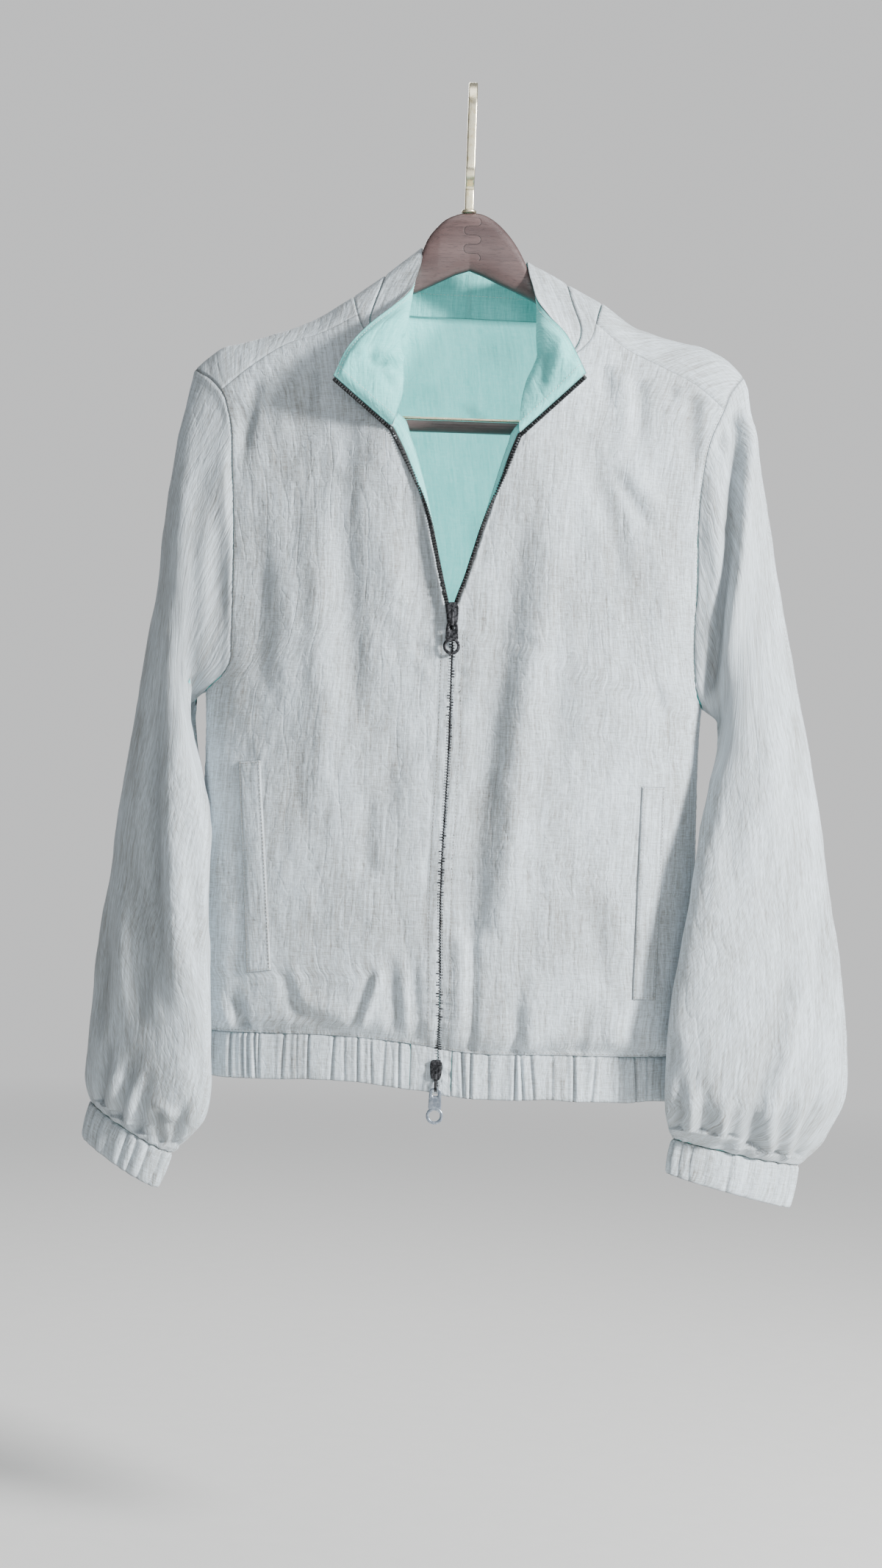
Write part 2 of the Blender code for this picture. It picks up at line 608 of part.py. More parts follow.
def cuff_grid(side):
    """Gathered cuff: the sleeve's last ring to the cuff's hem, with its folds."""
    columns = CUFF_FOLDS * 3
    angle = np.linspace(0, 2 * math.pi, columns + 1)
    last = (SLEEVE_LEFT if side < 0 else SLEEVE_RIGHT)[-1]
    hem = CUFF_LEFT if side < 0 else CUFF_RIGHT
    first_ring = oval(last[0:3], last[3:6], last[6] - 1.0, 0, angle)
    last_ring = oval(hem[0:3], hem[3:6], hem[6], 0, angle)
    down = (np.array(hem[0:3]) - np.array(last[0:3]) + np.array(hem[3:6]) - np.array(last[3:6])) / 2
    down = down / np.linalg.norm(down)
    first_ring = first_ring + down * CUFF_SEAM
    rings = np.array([first_ring, last_ring])
    return folded(rings, rings.mean(axis=1, keepdims=True), CUFF_FOLDS, columns, FOLD_DEPTH)


def band_grid(name):
    """One part of the waistband, hanging straight from the body's lower edge, with its folds."""
    folds = BAND_FOLDS[name]
    columns = folds * 3
    if name == "waistband_back":
        u = np.linspace(-1, 1, columns + 1)
        half = np.where(u < 0, half_width(-1, band_top(-200.0)), half_width(1, band_top(200.0)))
        x = half * np.sin(u * math.pi / 2) * 0.9995
        face, back = 1, 1
    else:
        side = -1 if name == "waistband_left" else 1
        start = TAB_EDGE[side]
        end = side * half_width(side, band_top(side * 200.0)) * 0.9995
        u = np.linspace(0, 1, columns + 1)
        x = start + (end - start) * np.sin(u * math.pi / 2)
        face, back = -1, 0
    top = band_top(x, back)
    rows = []
    for drop in (0.5, BAND_HEIGHT):
        p = body_point(x, top - 0.5, face)
        p[:, 2] = top - drop
        rows.append(p)
    rows = np.array(rows)
    fade = np.sin(np.linspace(0, math.pi, columns + 1))**0.25
    return folded(rows, np.zeros(3), folds, columns, FOLD_DEPTH * fade)


TAB_EDGE = {-1: -24.0, 1: 12.0}


def tab_grid(side):
    """Plain end of the waistband beside the zip."""
    x = np.linspace(zip_x(side, -800), TAB_EDGE[side], 4)
    top = band_top(x)
    rows = []
    for drop in (0.5, BAND_HEIGHT):
        p = body_point(x, top - 0.5, -1)
        p[:, 2] = top - drop
        rows.append(p)
    return np.array(rows)


def zip_grid(side, rows=28):
    """Half of the zip beside one front edge: up the collar's front edge and down to the hem."""
    top = np.array(COLLAR[0 if side < 0 else -1][2:5], float)
    base = neck_point(0 if side < 0 else len(COLLAR) - 1)
    low = band_top(side * 4.0) - BAND_HEIGHT + 4
    z = np.linspace(base[2], low, rows)
    seam = band_top(side * 4.0) - 0.5
    edge = body_point(zip_x(side, z), np.maximum(z, seam), -1)
    edge[:, 2] = z
    edge = np.concatenate([[top + (base - top) * t for t in (0.03, 0.4, 0.8)], edge])
    along = np.gradient(edge, axis=0)
    across = np.stack([-along[:, 2], 0 * along[:, 1], along[:, 0]], axis=-1) * -side
    across /= np.linalg.norm(across, axis=-1, keepdims=True)
    turn = np.zeros(len(edge))
    turn[:len(ZIP_TURN)] = ZIP_TURN
    edge[:, 1] -= ZIP_RISE * np.minimum(turn, 1)
    turn = turn[:, None] * math.pi / 2
    across = across * np.cos(turn) + np.array([0, -1.0, 0]) * np.sin(turn)
    return np.stack([edge + across * 0.35, edge + across * (ZIP_HALF - 0.45)], axis=1)


def welt_grid(side):
    """Pocket welt on the front panel, one wall above it."""
    corners = WELT_LEFT if side < 0 else WELT_RIGHT
    a, b, c, d = (np.array(p, float) for p in corners)
    v = np.linspace(0, 1, 9)[:, None, None]
    u = np.linspace(0, 1, 4)[None, :, None]
    flat = (a * (1 - u) + b * u) * (1 - v) + (d * (1 - u) + c * u) * v
    return body_point(flat[..., 0], flat[..., 1], -1)


def build_cloth(stone, mint):
    """All the panels of the jacket."""
    for side, name in ((-1, "left"), (1, "right")):
        front = inset(front_grid(side), "tblr")
        wall(f"front_{name}", front, CLOTH, stone, normal=body_normal(front[..., 0], front[..., 2], -1))
        sleeve = sleeve_grid(side)
        wall(f"sleeve_{name}", sleeve, CLOTH, stone, closed=True, normal=sleeve_normals(side, sleeve))
        wall(f"cuff_{name}", cuff_grid(side), CLOTH, stone, flip=side, closed=True)
        wall(f"zip_tab_{name}", inset(tab_grid(side), "lr"), CLOTH, stone, flip=-side)
        wall(f"pocket_welt_{name}", welt_grid(side), CLOTH, stone, flip=-side, shift=-(CLOTH + 0.4))
        wall(f"waistband_{name}", inset(band_grid(f"waistband_{name}"), "lr"), CLOTH, stone, flip=-side)
    grid, mask = back_grid()
    grid = inset(grid, "tlr")
    ahead = (np.arange(len(grid)) < CREST_ROWS)[:, None, None]
    x, z = grid[..., 0], grid[..., 2]
    normal = np.where(ahead, body_normal(x, z, -1), body_normal(x, z, 1))
    wall("back", grid, CLOTH, stone, mask=mask, normal=normal)
    wall("waistband_back", inset(band_grid("waistband_back"), "lr"), CLOTH, stone, flip=1)
    wall("collar", collar_grid("collar"), CLOTH, stone)
    wall("collar_wedge", inset(collar_grid("wedge"), "b"), CLOTH, stone)
    wall("collar_lining", collar_grid("lining"), LINING, mint, shift=CLOTH + LINING_GAP)
    rows, cols = slice(2 * CREST_ROWS, 2 * CREST_ROWS + 8), slice(BACK_SIDE, BACK_SIDE + BACK_MIDDLE + 1)
    wall("back_lining", inset(grid[rows, cols], "t", 2.0), LINING, mint, shift=CLOTH + LINING_GAP,
         normal=normal[rows, cols])


def build_zip(dark, steel):
    """Two zip halves, two sliders and their pull tabs."""
    for side, name in ((-1, "left"), (1, "right")):
        wall(f"zip_{name}", zip_grid(side), ZIP_THICK, dark, flip=side)
    for data, name in ((UPPER, "upper"), (LOWER, "lower")):
        slider(data, name, dark)
        pull_tab(data, name, steel)


def slider_face(data):
    """Plane that the slider's back lies on, just in front of the zip."""
    z = max(data["top"] - data["body"], -790.0)
    levels = np.array([data["top"], z])
    return float(body_point(np.full(2, -2.0), levels, -1)[:, 1].min()) - 0.5


def box_on(bm, low, high):
    """Add a box between two corners, in millimetres."""
    made = bmesh.ops.create_cube(bm, size=1.0)
    centre, size = (np.array(low) + high) / 2, np.array(high) - low
    for v in made["verts"]:
        v.co = [(centre[i] + v.co[i] * size[i]) * MM for i in range(3)]


def finish_bmesh(bm, name, mat, bevel=0.3):
    """Object from a bmesh, with its edges rounded."""
    mesh = bpy.data.meshes.new(name)
    bm.to_mesh(mesh)
    bm.free()
    mesh.materials.append(mat)
    obj = bpy.data.objects.new(name, mesh)
    bpy.data.collections["bomber_jacket"].objects.link(obj)
    if bevel:
        mod = obj.modifiers.new("edge", "BEVEL")
        mod.width = bevel * MM
        mod.segments = 1
    return obj


def outline(points, y, thick):
    """Closed prism from an outline in x and z, between y and y + thick."""
    bm = bmesh.new()
    front = [bm.verts.new((p[0] * MM, y * MM, p[1] * MM)) for p in points]
    back = [bm.verts.new((p[0] * MM, (y + thick) * MM, p[1] * MM)) for p in points]
    bm.faces.new(front)
    bm.faces.new(back[::-1])
    for i in range(len(points)):
        j = (i + 1) % len(points)
        bm.faces.new((front[j], front[i], back[i], back[j]))
    bmesh.ops.recalc_face_normals(bm, faces=bm.faces)
    return bm




def slider(data, name, mat):
    """Slider: a tapered plate in front of the zip with a bridge over the pull's pin."""
    y = slider_face(data)
    x, top, low, pin = data["x"], data["top"], data["top"] - data["body"], data["pin"]
    width = SLIDER_HALF
    pts = [(x - width, top - 3), (x - width + 1.5, top), (x + width - 1.5, top), (x + width, top - 3),
           (x + width * 0.7, low), (x - width * 0.7, low)]
    body = finish_bmesh(outline(pts, y - SLIDER_PLATE, SLIDER_PLATE), f"slider_{name}", mat, 0)
    reach = y - SLIDER_PLATE
    bridge_y = reach - BAIL_RISE - BAIL_BAR
    high = min(top - 1.0, pin + data["bail"])
    deep = pin - 2.8
    add_bridge(body, x, high, deep, low, bridge_y, reach)
    return body


def add_bridge(body, x, high, deep, low, bridge_y, reach):
    """Union the bridge's bars to the slider plate."""
    parts = [((x - BAIL_HALF, bridge_y, high - 2.4), (x + BAIL_HALF, reach + 0.6, high))]
    parts.append(((x - BAIL_HALF, bridge_y, deep), (x + BAIL_HALF, bridge_y + BAIL_BAR, high - 1.0)))
    parts.append(((x - BAIL_HALF, bridge_y, deep), (x + BAIL_HALF, reach + 0.6, deep + 1.5)))
    if deep < low + 0.5:
        parts.append(((x - BAIL_HALF, reach - 0.0, deep), (x + BAIL_HALF, reach + 1.2, low + 2.0)))
    for k, (a, b) in enumerate(parts):
        bm = bmesh.new()
        box_on(bm, a, b)
        cutter = finish_bmesh(bm, f"{body.name}_bar_{k}", body.data.materials[0], 0)
        bpy.data.collections["bomber_jacket"].objects.unlink(cutter)
        bpy.data.collections["cutters"].objects.link(cutter)
        cutter.hide_render = True
        cutter.display_type = "WIRE"
        mod = body.modifiers.new(f"bar_{k}", "BOOLEAN")
        mod.operation = "UNION"
        mod.object = cutter


def pull_tab(data, name, mat):
    """Pull tab: a pin behind the bridge, two arms and a plate with a round hole, hinged at the pin."""
    y = slider_face(data) - SLIDER_PLATE - BAIL_RISE / 2
    x, pin, length = data["x"], data["pin"], data["pull"]
    half = PULL_WIDTH / 2
    ring_z = -length + half
    turn = np.linspace(0, -math.pi, 11)
    round_end = [(half * math.cos(a), ring_z + half * math.sin(a)) for a in turn]
    neck = 4.4
    shape = [(-half, ring_z)] + [(-neck, -7.0), (-neck, PIN_RADIUS), (neck, PIN_RADIUS), (neck, -7.0)]
    pts = [(x + p[0], pin + p[1]) for p in shape[1:] + round_end]
    bm = outline(pts, y - PULL_THICK / 2, PULL_THICK)
    for v in bm.verts:
        v.co = [v.co[0] - x * MM, v.co[1] - y * MM, v.co[2] - pin * MM]
    obj = finish_bmesh(bm, f"pull_tab_{name}", mat, 0)
    obj.location = (x * MM, y * MM, pin * MM)
    hole = bmesh.new()
    bmesh.ops.create_cone(hole, cap_ends=True, segments=20, radius1=PULL_HOLE * MM, radius2=PULL_HOLE * MM,
                          depth=6 * MM)
    for v in hole.verts:
        v.co = (v.co[0] + x * MM, y * MM - v.co[2], v.co[1] + (pin + ring_z) * MM)
    slot = bmesh.new()
    box_on(slot, (x - SLOT_HALF, y - 3, pin - 5.6), (x + SLOT_HALF, y + 3, pin - PIN_RADIUS))
    for k, tool in enumerate((hole, slot)):
        cutter = finish_bmesh(tool, f"pull_{name}_cut_{k}", mat, 0)
        bpy.data.collections["bomber_jacket"].objects.unlink(cutter)
        bpy.data.collections["cutters"].objects.link(cutter)
        cutter.hide_render = True
        cutter.display_type = "WIRE"
        mod = obj.modifiers.new(f"cut_{k}", "BOOLEAN")
        mod.object = cutter
    return obj


def build_hanger(wood, brass):
    """Wooden arms, trouser bar with its brass rod, and the brass hook."""
    count = 10
    angle = np.linspace(0, 2 * math.pi, count + 1)[:-1]
    table = np.array(ARM_PROFILE)
    x = np.unique(np.concatenate([table[:, 0], np.linspace(-176, 178, 16)]))
    low, deep = np.interp(x, table[:, 0], table[:, 2]), np.interp(x, table[:, 0], table[:, 3])
    top = through(ARM_PROFILE, 1, x)
    rest = through(CREST, 1, x) - CLOTH - REST_GAP - 3 * ease((np.abs(x - 4) - 165) / 40)
    top = top + (rest - top) * ease((np.abs(x - 4) - ARM_REST + 12) / 24)
    c, s = np.cos(angle)[None, :], np.sin(angle)[None, :]
    tall = ((top - low) / 2)[:, None]
    rings = np.stack([x[:, None] + 0 * c, deep[:, None] * s, (top + low)[:, None] / 2 + tall * c], axis=-1)
    add_mesh("hanger_arms", rings.reshape(-1, 3), tube_faces(len(x), count), wood)
    rod("trouser_bar", wood, BAR_RADIUS, BAR_Z, BAR_LEFT, BAR_RIGHT, 14)
    rod("bar_rod", brass, ROD_RADIUS, BAR_Z + BAR_RADIUS + ROD_RADIUS + 0.3, BAR_LEFT + 2, BAR_RIGHT - 2, 8)
    hook(brass)


def tube_faces(rows, sides):
    """Faces of a tube of rings, with its two caps."""
    faces = [(r * sides + k, r * sides + (k + 1) % sides, (r + 1) * sides + (k + 1) % sides, (r + 1) * sides + k)
             for r in range(rows - 1) for k in range(sides)]
    return faces + [tuple(range(sides)), tuple((rows - 1) * sides + k for k in range(sides))[::-1]]


def rod(name, mat, radius, z, left, right, sides):
    """Round rod along X."""
    bm = bmesh.new()
    bmesh.ops.create_cone(bm, cap_ends=True, segments=sides, radius1=radius * MM, radius2=radius * MM,
                          depth=(right - left) * MM)
    for v in bm.verts:
        v.co = (v.co[2], v.co[0], v.co[1])
    obj = finish_bmesh(bm, name, mat, 0)
    obj.location = ((left + right) / 2 * MM, 0, z * MM)
    return obj


def hook(mat):
    """Square brass bar: up from the hanger, forward in an S bend, up in front of the rail and over it."""
    r = HOOK_RADIUS + HOOK_BAR / 2
    turns = np.linspace(0, math.pi / 2, 5)
    lower = [(-BEND + BEND * math.cos(a), BEND_FOOT + BEND * math.sin(a)) for a in turns]
    upper = [(-r + BEND - BEND * math.sin(a), BEND_FOOT + 2 * BEND - BEND * math.cos(a)) for a in turns]
    arc = [(-r * math.cos(a), -HOOK_RADIUS + r * math.sin(a)) for a in np.linspace(0, math.pi, 13)]
    path = [(0, HOOK_FOOT)] + lower + upper + arc + [(r, -28)]
    points = np.array(path)
    way = np.gradient(points, axis=0)
    way /= np.linalg.norm(way, axis=-1, keepdims=True)
    half, cut = HOOK_BAR / 2, HOOK_EDGE
    corners = [(half, half - cut), (half - cut, half), (cut - half, half), (-half, half - cut),
               (-half, cut - half), (cut - half, -half), (half - cut, -half), (half, cut - half)]
    rings = [(a, y - w[1] * b, z + w[0] * b) for (y, z), w in zip(points, way) for a, b in corners]
    return add_mesh("hook", rings, tube_faces(len(points), len(corners)), mat)


def main():
    for obj in list(bpy.data.objects):
        bpy.data.objects.remove(obj)
    for name in ("bomber_jacket", "cutters"):
        group = bpy.data.collections.new(name)
        bpy.context.scene.collection.children.link(group)
    stone = material("stone_linen", STONE, 0.85)
    mint = material("mint_linen", MINT, 0.85)
    wood = material("walnut", WALNUT, 0.45)
    brass = material("brass", BRASS, 0.35, 1.0)
    dark = material("gunmetal", GUNMETAL, 0.45, 0.9)
    build_cloth(stone, mint)
    build_zip(dark, dark)
    build_hanger(wood, brass)


main()
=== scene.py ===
"""Linen bomber jacket, half unzipped, on a walnut hanger with a brass hook.

Tables and functions are in millimetres in the CAD frame: X to the viewer's right, -Y towards the
viewer, Z up, the inner top of the hook at the origin. Meshes are written in metres. Each cloth piece
is a fine grid on the same body form as its solid, with its folds added along the surface's normals.
"""

import math

import bpy
import numpy as np
from mathutils import Matrix


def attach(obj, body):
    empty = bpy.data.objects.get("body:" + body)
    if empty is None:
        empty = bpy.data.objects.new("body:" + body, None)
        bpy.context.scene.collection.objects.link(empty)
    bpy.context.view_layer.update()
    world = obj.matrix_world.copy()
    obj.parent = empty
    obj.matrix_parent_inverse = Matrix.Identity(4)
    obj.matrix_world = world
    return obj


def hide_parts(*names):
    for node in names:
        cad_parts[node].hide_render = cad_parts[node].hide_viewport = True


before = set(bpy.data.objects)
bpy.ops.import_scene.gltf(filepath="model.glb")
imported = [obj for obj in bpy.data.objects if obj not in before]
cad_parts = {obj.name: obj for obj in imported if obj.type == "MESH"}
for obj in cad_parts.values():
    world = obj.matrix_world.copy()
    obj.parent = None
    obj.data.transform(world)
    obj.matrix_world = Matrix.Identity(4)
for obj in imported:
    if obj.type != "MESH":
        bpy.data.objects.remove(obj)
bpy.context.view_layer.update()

MM = 0.001
LEFT, RIGHT = -1, 1    # sides, as signs of X
FRONT, BACK = -1, 1    # faces, as signs of Y
NAME = {LEFT: "left", RIGHT: "right"}
SHELL = 0.9            # thickness of a cloth shell
# Painted shade: the cloth's colour darkens in its seams and at the bottom of deep folds, where shade falls
SEAM_SHADE, SEAM_WIDTH = 0.6, 0.7    # how much the cloth darkens in a seam, and how far from it
TROUGH_SHADE = 0.3     # how much it darkens at the bottom of a deep fold
SEAM = 0.2             # each panel's edge is held back by this much, so seams are about 0.4 open
MEET = 12.0            # over this distance a panel's edge moves onto the seam it meets
TUCK_REACH, TUCK_DEPTH = 1.3, 1.4    # how far a panel's top edge runs on, and how deep, under its neighbour
NECK_FOOT = -292.0     # height of the neck seam's front corners, about the same on both sides
ZIP_STOP = -441.0      # height below which the zip closes
STITCH_GAP = 8.6       # distance of the stitch line beside the shut zip from its edge
LINING_SHARE = 0.475   # share of the back's rows, from the crest down, that its lining reaches
BAND_HEIGHT, BAND_SEAM = 37.0, 0.5    # the waistband, and the gap between it and the body
BAND_SIDE = 0.9995     # share of the body's half width at which the waistband's parts end
SQUARE = 2.3           # roundness of the body's level sections: 2 is an ellipse
# Body: level, left and right half width, front and back depth from the shoulder plane
BODY = [
    (-140, 236, 246, 40, 50),
    (-200, 236, 246, 42, 50),
    (-250, 236, 246, 46, 48),
    (-320, 234, 242, 52, 46),
    (-400, 222, 228, 56, 45),
    (-500, 206, 209, 58, 44),
    (-600, 204, 207, 58, 44),
    (-700, 206, 209, 58, 45),
    (-752, 206, 209, 57, 46),
    (-776, 200, 203, 51, 42),
    (-790, 192, 195, 44, 38),
    (-850, 192, 195, 44, 38),
]
# Shoulder line seen from the front: x, height of the crest
CREST = [
    (-236, -262), (-229, -247), (-220, -235), (-209, -225), (-173, -213), (-130, -197), (-94, -174),
    (-60, -150), (0, -140), (60, -150), (114, -173), (132, -186), (167, -199), (217, -215),
    (230, -226), (239, -238), (246, -254),
]
CREST_FALL = 45.0      # distance below the crest over which the shoulder opens to its full depth
# Forward shoulder seam from near the neck to the armhole: x, height
YOKE = {
    LEFT: [(-117, -208), (-147, -218), (-176, -238), (-200, -259)],
    RIGHT: [(133, -213), (163, -227), (194, -242), (217, -260)],
}
# Armhole seam from the shoulder to the underarm: height, x
ARM = {
    LEFT: [
        (-240, -224), (-248, -211), (-259, -200), (-279, -192), (-324, -187), (-444, -183),
        (-478, -183), (-494, -190), (-507, -205),
    ],
    RIGHT: [
        (-231, 234), (-245, 223), (-260, 217), (-286, 206), (-324, 199), (-409, 198),
        (-475, 199), (-498, 203), (-507, 207),
    ],
}
UNDERARM = ARM[LEFT][-1][0]     # the same height on both sides
# Front edge at the zip, from the neck seam to the top of the waistband: height, x
ZIP = {
    LEFT: [
        (-291, -56), (-309, -47), (-361, -29), (-414, -13), (-443, -6), (-470, -4.5), (-538, -4.5),
        (-657, -7), (-776, -4.8), (-840, -5),
    ],
    RIGHT: [
        (-293, 46), (-309, 40), (-353, 26), (-407, 10), (-443, 0), (-470, 1.5), (-538, 1.5),
        (-657, -1), (-776, 1.8), (-840, 1.4),
    ],
}
# Top of the waistband: x, height
BAND_TOP = [
    (-206, -789), (-100, -786), (-10, -792), (10, -795), (100, -796), (209, -797),
]
BACK_DROP = 7.0        # the back hem hangs lower than the front one
# Collar, from its left front edge round the back to its right front edge: neck seam x, z;
# top edge x, y, z; forward roll of the middle. Stations 6 and 12 lie on the shoulder line.
COLLAR = [
    (-56, -291, -105, -68, -252, 0),
    (-50, -264, -95, -63, -229, 3),
    (-54, -240, -80, -54, -209, 4),
    (-70, -221, -60, -40, -188, 2),
    (-84, -205, -45, -24, -168, 0),
    (-90, -190, -42, -12, -147, 0),
    (-94, -174, -41, 0, -129, 0),
    (-84, -178, -40, 20, -127, 0),
    (-47, -182, -30, 36, -121, 0),
    (5, -183, 6, 42, -118, 0),
    (60, -184, 40, 36, -123, 0),
    (101, -178, 50, 20, -133, 0),
    (114, -173, 53, 0, -137, 0),
    (109, -190, 55, -12, -156, 0),
    (104, -208, 58, -24, -174, 0),
    (86, -226, 68, -40, -191, 2),
    (60, -243, 82, -54, -209, 4),
    (50, -266, 92, -62, -228, 3),
    (46, -293, 99, -68, -243, 0),
]
COLLAR_ROWS = [(station, *row) for station, row in enumerate(COLLAR)]
LAST_STATION = len(COLLAR) - 1
# Stations on the crest, and how many before them the yoke seams meet the neck
LEFT_CREST, RIGHT_CREST, NECK_CORNER = 6, 12, 1.2
NECK_ROLL = 13.0       # how far the collar's inside leans over the neck seam, where it turns to the back
# Where the wedge at each side of the neck ends on the collar's height, 0 to 1, by station number
WEDGE_FIRST, WEDGE_LAST, WEDGE_GAP, WEDGE_TIP = 3, 15, 0.008, 0.045
WEDGE = [(2.0, 0.012), (3.0, 0.045), (4.0, 0.14), (5.0, 0.32), (6.0, 0.46), (9.0, 0.46),
         (12.0, 0.46), (13.0, 0.36), (14.0, 0.18), (15.0, 0.045), (16.0, 0.012)]
# Sleeves, from below the armhole to the cuff: outer edge x, y, z; inner edge x, y, z;
# half depth; how far front and back lean towards the body
SLEEVE = {
    LEFT: [
        (-236, -4, -305, -218, -1, -519, 34, 10),
        (-247, 0, -395, -214, -10, -540, 30, 4),
        (-257, 5, -485, -205, -28, -572, 27, 2),
        (-268, 9, -575, -195, -49, -624, 26, 0),
        (-281, 11, -690, -194, -62, -706, 27, 0),
        (-290, 8, -785, -187, -62, -792, 28, 0),
        (-293, 2, -830, -190, -54, -852, 28, 0),
        (-288, 0, -851, -218, -36, -887, 23, 0),
    ],
    RIGHT: [
        (250, -4, -308, 222, -2, -518, 34, 12),
        (268, -2, -398, 222, -12, -540, 30, 6),
        (286, 2, -485, 215, -30, -572, 28, 2),
        (304, 4, -572, 205, -50, -624, 27, 0),
        (321, 4, -662, 196, -60, -684, 27, 0),
        (334, 0, -750, 187, -60, -756, 28, 0),
        (338, -6, -814, 185, -56, -818, 29, 0),
        (323, -8, -858, 189, -48, -849, 26, 0),
        (300, -10, -883, 193, -38, -861, 18, 0),
    ],
}
NECK_ROWS, FRONT_ARM, BACK_ARM = 5 / 23, 10 / 23, 8 / 17    # shares of a front's and the back's rows
# Cuff hems: outer edge x, y, z; inner edge x, y, z; half depth
CUFF = {LEFT: (-294, 0, -880, -229, -34, -916, 22), RIGHT: (294, -10, -918, 189, -38, -889, 18)}
CUFF_FOLDS, CUFF_SEAM = 21, 0.6
ZIP_RISE = 0.6         # how far the zip stands in front of the cloth where it twists, beside the neck
# Pocket welts: top inner x, z; top outer x, z; bottom outer x, z; bottom inner x, z
WELT = {
    LEFT: ((-154, -563), (-173, -565), (-160, -737), (-139, -734)),
    RIGHT: ((157, -574), (177, -574), (175, -748), (155, -748)),
}
# Hanger
ARM_PROFILE = [   # x, top of the wood in the open neck, under edge, half thickness
    (-206, -224, -291, 8), (-187.4, -219, -292, 11), (-186, -218.5, -258, 11), (-160, -210, -240, 12),
    (-128, -199, -223, 11), (-96, -186, -199, 9), (-72, -174, -187, 7), (-56, -162, -176, 6.5),
    (-47, -154, -171, 6.5), (-41.5, -147, -169, 6), (-37.5, -133, -167, 6), (-24, -111, -160, 7),
    (-10, -102.5, -153, 7),
    (2, -100.5, -149, 7), (14, -102.5, -153.5, 7), (27, -111, -159.5, 7), (42, -129, -166, 6.5),
    (52, -147, -170.5, 6.5), (64, -163, -177, 6.5), (86, -179, -190, 7), (112, -187, -202, 9),
    (134, -195, -219, 11), (166, -204, -240, 12), (190, -210, -258, 11), (191.4, -210.5, -292, 11),
    (211, -217, -291, 8),
]
ARM_REST = 124.0      # beyond this distance from the middle the shoulders rest on the wood
REST_GAP = 1.1        # between the wood and the cloth that rests on it
BAR_Z, BAR_RADIUS, BAR_LEFT, BAR_RIGHT = -279.5, 5.0, -186.3, 190.3
ROD_RADIUS = 1.3
HOOK_RADIUS, HOOK_BAR, HOOK_FOOT = 18.0, 7.5, -100.0    # inner radius, width of its bar, height of its foot
BEND, BEND_FOOT = 8.0, -91.0    # the hook's S bend: radius of each half, height 8 below its start
# Zip sliders: x, height of the slider's top, its length, how far the bridge reaches above the pin, height
# of the pull's pin, length of the pull
UPPER = {"x": -2.0, "top": -430.0, "body": 20.0, "bail": 11.0, "pin": -447.0, "pull": 26.0}
LOWER = {"x": -2.6, "top": -802.0, "body": 17.0, "bail": 18.0, "pin": -825.5, "pull": 29.0}
SLIDER_PLATE, SLIDER_HALF = 2.2, 5.6
BAIL_HALF, BAIL_RISE, BAIL_BAR = 1.2, 2.3, 1.2    # bridge over the pull's pin: half width, gap, thickness
PULL_WIDTH, PULL_THICK, PULL_HOLE = 14.0, 1.5, 4.4
PIN_RADIUS, SLOT_HALF = 0.75, 2.3
TAB_EDGE = {LEFT: -24.0, RIGHT: 10.0}    # x where the waistband's plain ends meet its gathers
# Zip tooth: corners of its base and of the knob on it, along the zip, across it and up; and a box's faces
TOOTH_BASE = np.array([
    [-0.6, -1.5, -1.3], [0.6, -1.5, -1.3], [0.7, 1.5, -1.3], [-0.7, 1.5, -1.3],
    [-0.5, -1.4, 0.7], [0.5, -1.4, 0.7], [0.6, 1.4, 0.75], [-0.6, 1.4, 0.75],
])
TOOTH_KNOB = np.array([
    [-0.55, -1.1, 0.6], [0.55, -1.1, 0.6], [0.55, -0.1, 0.6], [-0.55, -0.1, 0.6],
    [-0.3, -0.85, 1.15], [0.3, -0.85, 1.15], [0.3, -0.35, 1.15], [-0.3, -0.35, 1.15],
])
TOOTH_FACES = np.array([[0, 3, 2, 1], [4, 5, 6, 7], [0, 1, 5, 4], [1, 2, 6, 5], [2, 3, 7, 6], [3, 0, 4, 7]])
# Mint facing inside the open zip: heights, and how much of it shows at each
FACING_SHOWN = [-447, -400, -357, -330, -302, -288]
FACING_WIDTH = {LEFT: [2.6, 3.2, 4.2, 6.4, 10.2, 13.5], RIGHT: [2.4, 2.8, 3.2, 3.8, 5.0, 7.0]}
# Studio, in metres: floor, camera, its lens in mm and how far it leans in degrees
FLOOR_Z, CAMERA, LENS, TILT = -1.3, (-0.00665, -1.9, -0.5775), 52.27, 2

